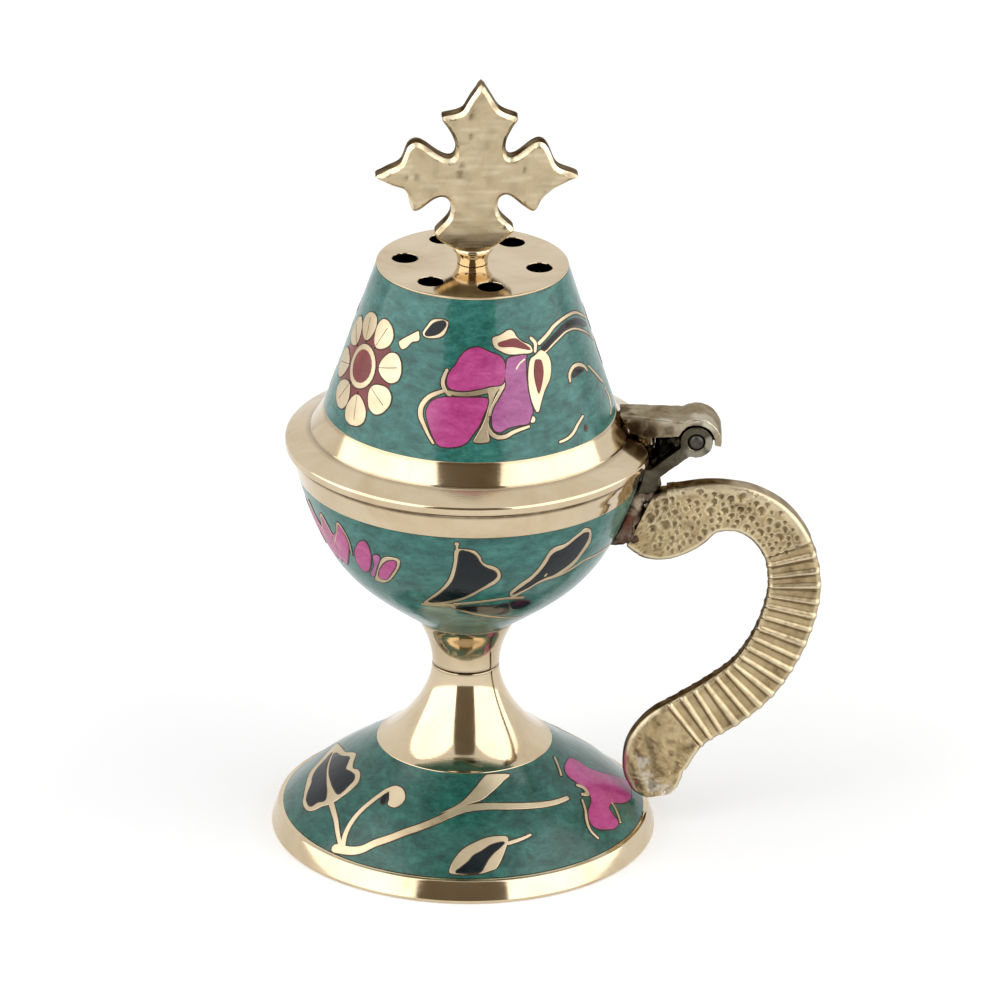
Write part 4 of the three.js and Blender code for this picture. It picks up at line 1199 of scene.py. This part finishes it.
def sectionSpots():
    # one turn round the section: (which part of it, how far along that part)
    spots = []
    for face, sign, near, wall, far in (("front", 1, "corner0", "outer", "corner1"),
                                        ("back", -1, "corner2", "inner", "corner3")):
        spots.extend((face, sign * (-1 + 2 * i / 36)) for i in range(37))
        spots.extend((near, i / 4) for i in range(1, 4))
        spots.extend((wall, i / 6) for i in range(7))
        spots.extend((far, i / 4) for i in range(1, 4))
    return spots


def smoothStep(low, high, value):
    t = min(max((value - low) / (high - low), 0), 1)
    return t * t * (3 - 2 * t)


def awayFrom(x, z, a, b):
    # how far a spot is from the stretch between two points
    dx, dz = b[0] - a[0], b[1] - a[1]
    t = min(max(((x - a[0]) * dx + (z - a[1]) * dz) / (dx * dx + dz * dz), 0), 1)
    return math.hypot(x - a[0] - dx * t, z - a[1] - dz * t)


def makeHandle():
    stations, total = handleStations()
    spots = sectionSpots()
    count = len(spots)
    depth = handle["thickness"] / 2
    luck = random.Random(handle["pitSeed"])
    pits = [(-1, x, z, size * 1.05, 0.30 + 0.25 * size) for x, z, size in handle["pits"]]
    for _ in range(handle["pitTries"]):
        # the back, and what is left bare of the front, are filled as they come
        side = luck.choice((-1, 1))
        share = luck.uniform(0.05, 0.36)
        size = luck.uniform(0.36, 0.66)
        x, z, half = stations[int(share * handle["stations"])]
        after = stations[int(share * handle["stations"]) + 1]
        across = luck.uniform(-0.78, 0.58) * half
        slope = math.atan2(after[1] - z, after[0] - x)
        x -= math.sin(slope) * across
        z += math.cos(slope) * across
        if all(p[0] != side or math.hypot(p[1] - x, p[2] - z) > p[3] + size for p in pits):
            pits.append((side, x, z, size, luck.uniform(0.20, 0.42)))
    deselectAll()
    bpy.ops.mesh.primitive_grid_add(x_subdivisions=handle["stations"], y_subdivisions=count, size=2)
    piece = takeNew("handleScroll")
    span = handle["ribSpan"]
    rows = {}
    painted = {"patinaAndShade": [], "wearAndHighlight": [], "pale": []}
    for vertex in piece.data.vertices:
        station = round((vertex.co.x + 1) / 2 * handle["stations"])
        spot = round((vertex.co.y + 1) / 2 * count) % count
        x, z, half = stations[station]
        before = stations[max(station - 1, 0)]
        after = stations[min(station + 1, len(stations) - 1)]
        length = math.hypot(after[0] - before[0], after[1] - before[1])
        tx, tz = (after[0] - before[0]) / length, (after[1] - before[1]) / length
        ox, oz = -tz, tx     # towards the outside of the bend
        share = station / handle["stations"]
        along = share * total
        if station not in rows:
            rows[station] = [p for p in pits if math.hypot(p[1] - x, p[2] - z) < half + 1.6]
        # rounded ribs with flat bands between them run across, a little uneven
        ribbed = 0.0
        valley = 0.0
        line = 0.0
        if span[0] < share < span[1]:
            phase = handle["ribs"] * (share - span[0]) / (span[1] - span[0])
            part = (phase + 0.16 * noise.noise(Vector((phase * 0.7, 3.1, 0)))) % 1
            ribbed = smoothStep(span[0], span[0] + 0.012, share)
            ribbed *= 1 - smoothStep(span[1] - 0.02, span[1], share)
            valley = 1 - math.sin(math.pi * part / 0.44) ** 0.8 if part < 0.44 else 1.0
            line = max(0, 0.75 - abs(part - 0.50) / 0.12, 0.35 - abs(part - 0.96) / 0.16)
        sink = handle["ribDepth"] * valley * ribbed + 0.10 * line * ribbed
        width = half - 0.14 - 0.10 * valley * ribbed
        corner = min(handle["corner"], width * 0.45)
        kind, t = spots[spot]
        lift = 0.0
        tipShare = smoothStep(0.80, 0.86, share)
        dirt = noise.noise(Vector((along * 0.9, spot * 0.21, 6.0)))
        patinaAndShade, wearAndHighlight, pale = 0.0, 0.0, 0.0
        # the end on the bowl is cut on a slant
        cut = handle["endSlant"] * (1 - smoothStep(0.0, 0.15, share)) / half
        if kind in ("front", "back"):
            offset = t * (width - corner)
            side = -1 if kind == "front" else 1
            edge = width - corner - offset
            rim = smoothStep(handle["rimWidth"] * 0.2, handle["rimWidth"] * 0.8, edge)
            # the pebbled field lies a little below the outer rim
            rim = rim * (1 - ribbed)
            face = depth - 0.16 * rim - sink
            spotX, spotZ = x + ox * offset + cut * (half + offset) / 2, z + oz * offset
            hollow = 0.0
            for _, pitX, pitZ, size, pitSink in (p for p in rows[station] if p[0] == side):
                away = math.hypot(pitX - spotX, pitZ - spotZ) / size
                if away < 1.6:
                    # no two pits have the same outline
                    away += 0.42 * noise.noise(Vector((spotX * 1.3, spotZ * 1.3, side * 3.0)))
                    lift -= pitSink * 0.55 * (1 - smoothStep(0.15, 1.05, away))
                    lift += 0.05 * math.exp(-((away - 1.15) / 0.2) ** 2)
                    hollow = max(hollow, 1 - smoothStep(0.35, 1.08, away))
                    # a painted highlight with wear round each pit's rim
                    wearAndHighlight = max(wearAndHighlight, 0.40 * math.exp(-((away - 1.15) / 0.16) ** 2))
            dents = noise.noise(Vector((along * 0.75, offset * 0.75, side * 9.0)))
            fineDents = noise.noise(Vector((along * 2.1, offset * 2.1, side * 5.0)))
            lift += tipShare * (0.22 * dents + 0.09 * fineDents)
            lift += (1 - tipShare) * 0.045 * noise.noise(Vector((along * 1.3, offset * 1.3, side * 2.0)))
            lift += 0.10 * (1 - smoothStep(0.05, 0.17, share)) * fineDents
            y = side * (face + lift)
            stain = smoothStep(0.0, 0.55, dirt)
            heel = 1 - smoothStep(0.05, 0.17, share)
            # darker: patina in the pits and dents, random stains and the heel's mottling, and painted shade
            # along the dark line beside each rib
            patinaAndShade = max(0.62 * hollow, ribbed * (0.9 * line + 0.08 * valley),
                         0.45 * tipShare * smoothStep(0.1, 0.5, -dents), 0.22 * stain,
                         0.5 * heel * smoothStep(-0.05, 0.4, fineDents))
            # brighter: wear near the face's edges, and painted highlights on the rib tops
            wearAndHighlight = max(wearAndHighlight, 0.35 * (1 - rim) * (1 - ribbed) * (1 - tipShare), 0.45 * ribbed * (1 - valley))
            if side < 0 and tipShare > 0:
                for chalkX, chalkZ, reach in handle["chalk"]:
                    near = math.hypot(chalkX - spotX, chalkZ - spotZ) / reach
                    pale = max(pale, 0.8 * (1 - smoothStep(0.3, 1.1, near + 0.9 * fineDents + 0.4 * dents)))
                stretches = zip(handle["stroke"], handle["stroke"][1:])
                near = min(awayFrom(spotX, spotZ, a, b) for a, b in stretches)
                patinaAndShade = max(patinaAndShade, 0.55 * tipShare * (1 - smoothStep(0.1, 0.75, near + 0.5 * fineDents)))
        else:
            signs = {"corner0": (1, -1), "corner1": (1, 1), "corner2": (-1, 1), "corner3": (-1, -1)}
            if kind in signs:
                acrossSign, depthSign = signs[kind]
                turn = t * math.pi / 2
                if kind in ("corner0", "corner2"):
                    c, s = math.sin(turn), math.cos(turn)
                else:
                    c, s = math.cos(turn), math.sin(turn)
                offset = acrossSign * (width - corner + corner * c)
                sunk = sink if acrossSign > 0 else sink + 0.16 * (1 - ribbed)
                y = depthSign * ((depth - corner * 0.8) + (corner * 0.8 - sunk) * s)
                # each rounded corner has a painted highlight towards the face and painted shade towards the
                # wall
                wearAndHighlight = 0.75 * s * (1 - 0.6 * valley * ribbed)
                patinaAndShade = 0.7 * (1 - s) * (0.5 if acrossSign > 0 and share > 0.3 else 1)
            else:
                reach = depth - corner * 0.8
                offset = (width if kind == "outer" else -width)
                y = (-reach + 2 * reach * t) if kind == "outer" else (reach - 2 * reach * t)
                offset -= 0.05 + 0.05 * noise.noise(Vector((along * 0.9, y * 0.9, 4.0)))
                # painted shade on the inner wall, and on the outer wall near the bowl
                dark = 0.93 if kind == "inner" else 0.25 + 0.68 * (1 - smoothStep(0.17, 0.22, share))
                patinaAndShade = min(max(dark + 0.25 * dirt, 0), 1)
                if kind == "outer":
                    # a painted pale sheen on the outer wall further out
                    pale = 0.4 * smoothStep(0.17, 0.22, share)
        painted["patinaAndShade"].append(patinaAndShade)
        painted["wearAndHighlight"].append(wearAndHighlight)
        painted["pale"].append(pale)
        slant = cut * (half + offset) / 2
        vertex.co = Vector((axisX + (x + ox * offset + slant) * mm, y * mm, (z + oz * offset) * mm))
    paintVertices(piece, painted)
    startEdit()
    bpy.ops.mesh.remove_doubles(threshold=0.000003)
    bpy.ops.mesh.select_all(action="DESELECT")
    bpy.ops.mesh.select_non_manifold(extend=False, use_wire=False, use_boundary=True, use_multi_face=False,
                                     use_non_contiguous=False, use_verts=False)
    bpy.ops.mesh.edge_face_add()
    faceOutwards()
    bpy.ops.object.mode_set(mode="OBJECT")
    smoothUnder(smoothing["handle"])
    return dressPiece(piece, "cast", "base", ["handle"])


makeHandle()
print("handle cast")


# The cross: three pointed arms with rounded ears and a lower arm with a round foot, cast by hand and
# so a little uneven. The outline runs anticlockwise from the top point, round the crossing's middle.
cross = {
    "thickness": 3.8, "edge": 0.75, "turn": 3, "middle": 106.8, "cutStep": 0.45,
    "outline": [
        (0.85, 14.75), (0.05, 13.6), (-0.7, 12.5), (-1.3, 11.4), (-1.85, 10.5), (-2.9, 10.0), (-4.0, 9.75),
        (-4.95, 9.5), (-4.85, 8.95), (-4.4, 8.3), (-3.8, 7.4), (-3.2, 6.2), (-2.85, 4.9), (-2.9, 3.75),
        (-3.3, 3.05), (-4.0, 2.88), (-4.9, 3.2), (-6.1, 3.95), (-7.3, 4.88), (-8.35, 5.44), (-9.25, 5.36),
        (-10.0, 4.7), (-10.45, 3.5), (-10.9, 2.35), (-11.6, 1.7), (-12.8, 1.15), (-13.85, 0.55),
        (-14.75, 0.0), (-13.5, -0.75), (-12.0, -1.45), (-10.6, -1.9), (-9.97, -2.6), (-9.7, -3.8),
        (-9.4, -4.95), (-8.8, -5.45), (-7.9, -5.1), (-6.9, -4.3), (-6.0, -3.6), (-5.0, -3.2),
        (-4.15, -3.35), (-3.6, -4.0), (-3.4, -5.0), (-3.55, -6.1), (-4.1, -7.05), (-4.95, -7.95),
        (-5.6, -8.7), (-5.75, -9.25), (-5.45, -9.8), (-4.7, -10.4), (-3.64, -11.03), (-2.3, -11.62),
        (-0.7, -11.95), (1.0, -11.9), (2.5, -11.44), (3.7, -10.75), (4.75, -9.95), (5.6, -9.15),
        (6.05, -8.6), (5.75, -7.95), (4.95, -7.2), (4.1, -6.3), (3.6, -5.2), (3.6, -4.1), (3.85, -3.3),
        (4.4, -2.9), (5.1, -2.85), (6.0, -3.4), (7.05, -4.3), (8.1, -5.1), (8.85, -5.45), (9.4, -5.15),
        (9.8, -4.3), (10.3, -3.4), (11.2, -2.5), (12.1, -1.75), (13.25, -1.15), (14.4, -0.5),
        (15.55, 0.05), (14.9, 0.55), (13.8, 0.95), (12.7, 1.4), (12.0, 2.15), (11.5, 3.4), (10.95, 4.6),
        (10.3, 5.4), (9.4, 5.58), (8.38, 5.05), (7.35, 4.2), (6.3, 3.38), (5.35, 3.05), (4.8, 3.5),
        (4.6, 4.5), (4.7, 5.9), (5.2, 7.1), (5.75, 8.15), (6.3, 8.95), (6.35, 9.4), (5.6, 9.75),
        (4.5, 10.15), (3.5, 10.8), (2.7, 12.0), (1.8, 13.5)],
    # pits in the face: across, up, reach
    "pits": [
        (-0.6, 10.1, 0.42), (-0.6, 6.8, 0.38), (-1.9, 2.0, 0.45), (-2.2, 0.9, 0.5), (-8.6, 0.3, 0.4),
        (-10.2, 0.2, 0.35), (4.6, -7.6, 0.3), (7.5, 1.6, 0.3)],
}


def makeCross():
    outline = smoothClosed(cross["outline"], 2)
    deselectAll()
    bpy.ops.mesh.primitive_circle_add(vertices=len(outline), radius=1, fill_type="NGON")
    piece = takeNew("crossCast")
    half = cross["thickness"] / 2
    edge = cross["edge"]
    ring = list(piece.data.polygons[0].vertices)
    for index, (x, z) in zip(ring, outline):
        piece.data.vertices[index].co = Vector((x, half - edge, z))
    startEdit()
    bpy.ops.mesh.extrude_region_move(TRANSFORM_OT_translate={"value": (0, -2 * (half - edge), 0)})
    faceOutwards()
    bpy.ops.mesh.select_mode(type="FACE")
    bpy.ops.mesh.select_all(action="DESELECT")
    mesh = bmesh.from_edit_mesh(piece.data)
    for face in mesh.faces:
        face.select_set(abs(face.normal.y) > 0.9)
    bmesh.update_edit_mesh(piece.data)
    bpy.ops.mesh.inset(thickness=edge * 0.75, depth=edge, use_even_offset=False)
    bpy.ops.mesh.select_mode(type="VERT")
    # cut fine enough for the file's strokes
    cutMesh((1, 0, 0), stepsFrom(-15.5, 15.5, cross["cutStep"]))
    cutMesh((0, 0, 1), stepsFrom(-12, 15.5, cross["cutStep"]))
    cutMesh((0, 1, 0), (edge - half + 0.15, 0, half - edge - 0.15))
    selectMesh()
    bpy.ops.mesh.quads_convert_to_tris()
    bpy.ops.object.mode_set(mode="OBJECT")
    turn = math.radians(cross["turn"])
    painted = {"patinaAndShade": [], "wearAndHighlight": []}
    for vertex in piece.data.vertices:
        x, y, z = vertex.co
        patches = noise.noise(Vector((x * 0.5, y * 0.9, z * 0.5)))
        patinaAndShade, wearAndHighlight = 0.0, 0.0
        if abs(y) > half - 0.05:
            side = 1 if y > 0 else -1
            # the file has left strokes and shallow hollows
            strokes = noise.noise(Vector((x * 0.22, z * 1.7, side * 4.0)))
            uneven = 0.06 * strokes + 0.03 * noise.noise(Vector((x * 0.6, z * 3.4, side * 8.0)))
            for pitX, pitZ, reach in cross["pits"]:
                away = math.hypot(x - pitX * side * -1, z - pitZ) / reach
                uneven -= 0.22 * math.exp(-away * away)
                patinaAndShade = max(patinaAndShade, 0.7 * math.exp(-away * away))
            # pits keep patina, the lower bud grows darker towards its bottom, and patches darken at random
            patinaAndShade = max(patinaAndShade, 0.5 * smoothStep(7.5, 10.5, -z), 0.12 * smoothStep(0.1, 0.45, patches))
            wearAndHighlight = 0.25 * smoothStep(0.05, 0.35, strokes)
            y += side * (uneven - 0.05)
        elif abs(y) > half - edge - 0.08:
            # a painted highlight with wear along the bevel
            wearAndHighlight = min(max(0.45 + 1.2 * patches, 0), 0.85)
            patinaAndShade = max(0, -0.2 - patches)
        else:
            # the walls carry painted shade, and the bevel a painted highlight with wear
            patinaAndShade = min(max(0.86 + 0.5 * patches, 0.5), 1)
        painted["patinaAndShade"].append(patinaAndShade)
        painted["wearAndHighlight"].append(wearAndHighlight)
        vertex.co = Vector((axisX + (x * math.cos(turn) - y * math.sin(turn)) * mm,
                            (x * math.sin(turn) + y * math.cos(turn)) * mm,
                            (z + cross["middle"]) * mm))
    paintVertices(piece, painted)
    smoothUnder(smoothing["cross"])
    collar = turnProfile("crossCollar", roundCorners([
        (0, 87.5), (1.5, 87.5, 0.2), (1.5, 92.75), (2.3, 92.75, 0.1), (2.3, 93.3, 0.3), (2.55, 94.2, 0.4),
        (3.05, 94.9, 0.3), (2.95, 95.4, 0.25), (2.0, 95.75, 0.3), (0, 95.9)], closed=False),
        turning["collarSteps"], closed=False)
    dressPiece(collar, "turned", "lid", ["cross_finial"])
    return dressPiece(piece, "filed", "lid", ["cross_finial"])


makeCross()
print("cross cast")


# Cast pieces of the hinge: a copy of the solid, melted together with its brazing and smoothed.
# Lumps are (out, across, up, and three half sizes), places are (out, across, up, reach, layer, amount).
hinge = {
    "pin": (34.25, 65.35),
    "strapLumps": [
        (23.6, 0, 68.2, 1.3, 2.6, 1.1), (26.6, 0, 65.6, 1.5, 2.2, 1.6), (27.45, 0, 64.3, 0.62, 2.4, 1.6)],
    # the strap's patina places are patina and painted shade at its root and front, and its wear places are
    # wear and painted highlights
    "strapPlaces": [
        (24.0, -2.0, 66.6, 3.2, "patinaAndShade", 0.95), (27.2, -3.2, 66.2, 1.9, "patinaAndShade", 0.8),
        (23.0, 0, 69.2, 1.8, "patinaAndShade", 0.7), (35.5, -2.5, 69.0, 2.6, "wearAndHighlight", 0.6),
        (29.5, -3.2, 69.2, 1.6, "wearAndHighlight", 0.45), (30.2, -3.4, 67.2, 1.0, "patinaAndShade", 0.5),
        (34.4, -3.6, 67.6, 1.5, "patinaAndShade", 0.7)],
    "armLumps": [
        (29.7, 0.4, 63.0, 1.6, 2.0, 2.4), (31.0, 0.4, 64.6, 1.6, 2.0, 1.6),
        (28.95, 0.6, 64.2, 0.85, 2.0, 1.7), (28.9, 0.4, 62.4, 0.8, 2.0, 1.6),
        (27.7, 0.2, 57.0, 1.4, 1.8, 1.5), (28.0, 0.4, 61.0, 1.0, 2.2, 1.6)],
    # the arm's patina places are painted shade in the recess under the strap, and its wear places are wear
    # and painted highlights on the eyes
    "armPlaces": [
        (29.6, 0, 63.4, 3.0, "patinaAndShade", 1.0), (31.6, 0, 65.4, 1.6, "patinaAndShade", 0.9),
        (34.2, -3.4, 63.4, 2.0, "wearAndHighlight", 0.5), (36.4, -3.4, 65.2, 1.3, "wearAndHighlight", 0.7)],
    "brazeLumps": [
        (25.2, 0, 55.2, 2.3, 1.9, 2.2), (24.6, -0.1, 52.6, 2.1, 2.0, 2.4),
        (23.9, -0.1, 49.6, 1.9, 1.9, 2.2), (26.9, 0, 55.6, 1.5, 1.7, 1.6),
        (22.6, -0.3, 48.2, 1.9, 1.7, 1.1), (25.4, 0, 48.6, 1.2, 1.6, 1.3)],
    "brazePlaces": [
        (24.2, -1.9, 52.0, 1.3, "patinaAndShade", 0.6), (24.0, -1.8, 50.4, 0.9, "patinaAndShade", 0.4),
        (26.0, -1.8, 54.4, 1.3, "wearAndHighlight", 0.25)],
}


def makeCast(name, node, lumps, places, finish, body, roughness=0.06, smooth=5, grain=0.2):
    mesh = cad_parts[node].data.copy()
    mesh.name = name
    piece = bpy.data.objects.new(name, mesh)
    scene.collection.objects.link(piece)
    pickPiece(piece)
    startEdit()
    bpy.ops.mesh.remove_doubles(threshold=0.000002)
    bpy.ops.object.mode_set(mode="OBJECT")
    for x, y, z, rx, ry, rz in lumps:
        deselectAll()
        bpy.ops.mesh.primitive_uv_sphere_add(segments=32, ring_count=20, radius=1)
        lump = bpy.context.object
        for vertex in lump.data.vertices:
            c = vertex.co
            wave = 1 + 0.18 * noise.noise(c * 1.7 + Vector((x, y, z)))
            vertex.co = Vector((axisX + (x + c.x * rx * wave) * mm, (y + c.y * ry * wave) * mm,
                                (z + c.z * rz * wave) * mm))
        piece.select_set(True)
        bpy.context.view_layer.objects.active = piece
        bpy.ops.object.join()
    melt = piece.modifiers.new("melt", "REMESH")
    melt.mode = "VOXEL"
    melt.voxel_size = grain * mm
    bpy.ops.object.modifier_apply(modifier=melt.name)
    soften = piece.modifiers.new("soften", "SMOOTH")
    soften.iterations = smooth
    soften.factor = 0.5
    bpy.ops.object.modifier_apply(modifier=soften.name)
    painted = {"patinaAndShade": [], "wearAndHighlight": []}
    for vertex in piece.data.vertices:
        spot = vertex.co / mm
        push = roughness * noise.noise(spot * 0.7) + roughness * 0.5 * noise.noise(spot * 1.9)
        vertex.co = vertex.co + vertex.normal * (push * mm)
        shares = {"patinaAndShade": 0.0, "wearAndHighlight": 0.0}
        for x, y, z, reach, layer, amount in places:
            away = (spot - Vector((x + axisX / mm, y, z))).length / reach + 0.3 * noise.noise(spot * 0.9)
            shares[layer] = max(shares[layer], amount * (1 - smoothStep(0.5, 1.0, away)))
        for layer, share in shares.items():
            painted[layer].append(share)
    paintVertices(piece, painted)
    bpy.ops.object.shade_smooth()
    return dressPiece(piece, finish, body, [node])


makeCast("hingeStrap", "lid_hinge_strap", hinge["strapLumps"], hinge["strapPlaces"], "hinge", "lid",
         grain=0.16)
makeCast("hingeArm", "bowl_hinge_arm", hinge["armLumps"], hinge["armPlaces"], "arm", "base", grain=0.16)
makeCast("handleBraze", "handle_boss", hinge["brazeLumps"], hinge["brazePlaces"], "braze", "base", 0.22, 2)
pin = turnProfile("hingePin", roundCorners([(0, -3.75), (0.8, -3.68, 0.3), (1.2, -3.3, 0.3), (1.2, 3.3, 0.3),
                                            (0.8, 3.68, 0.3), (0, 3.75)], closed=False),
                  turning["pinSteps"], False, (axisX + hinge["pin"][0] * mm, hinge["pin"][1] * mm), True)
dressPiece(pin, "pin", "base", ["hinge_pin"])
for node in ("finial_nut", "stem_stud", "stem_washer", "stem_nut"):
    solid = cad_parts[node]
    solid.data.materials.clear()
    solid.data.materials.append(finishes["cast"])
print("hinge and fixings finished")
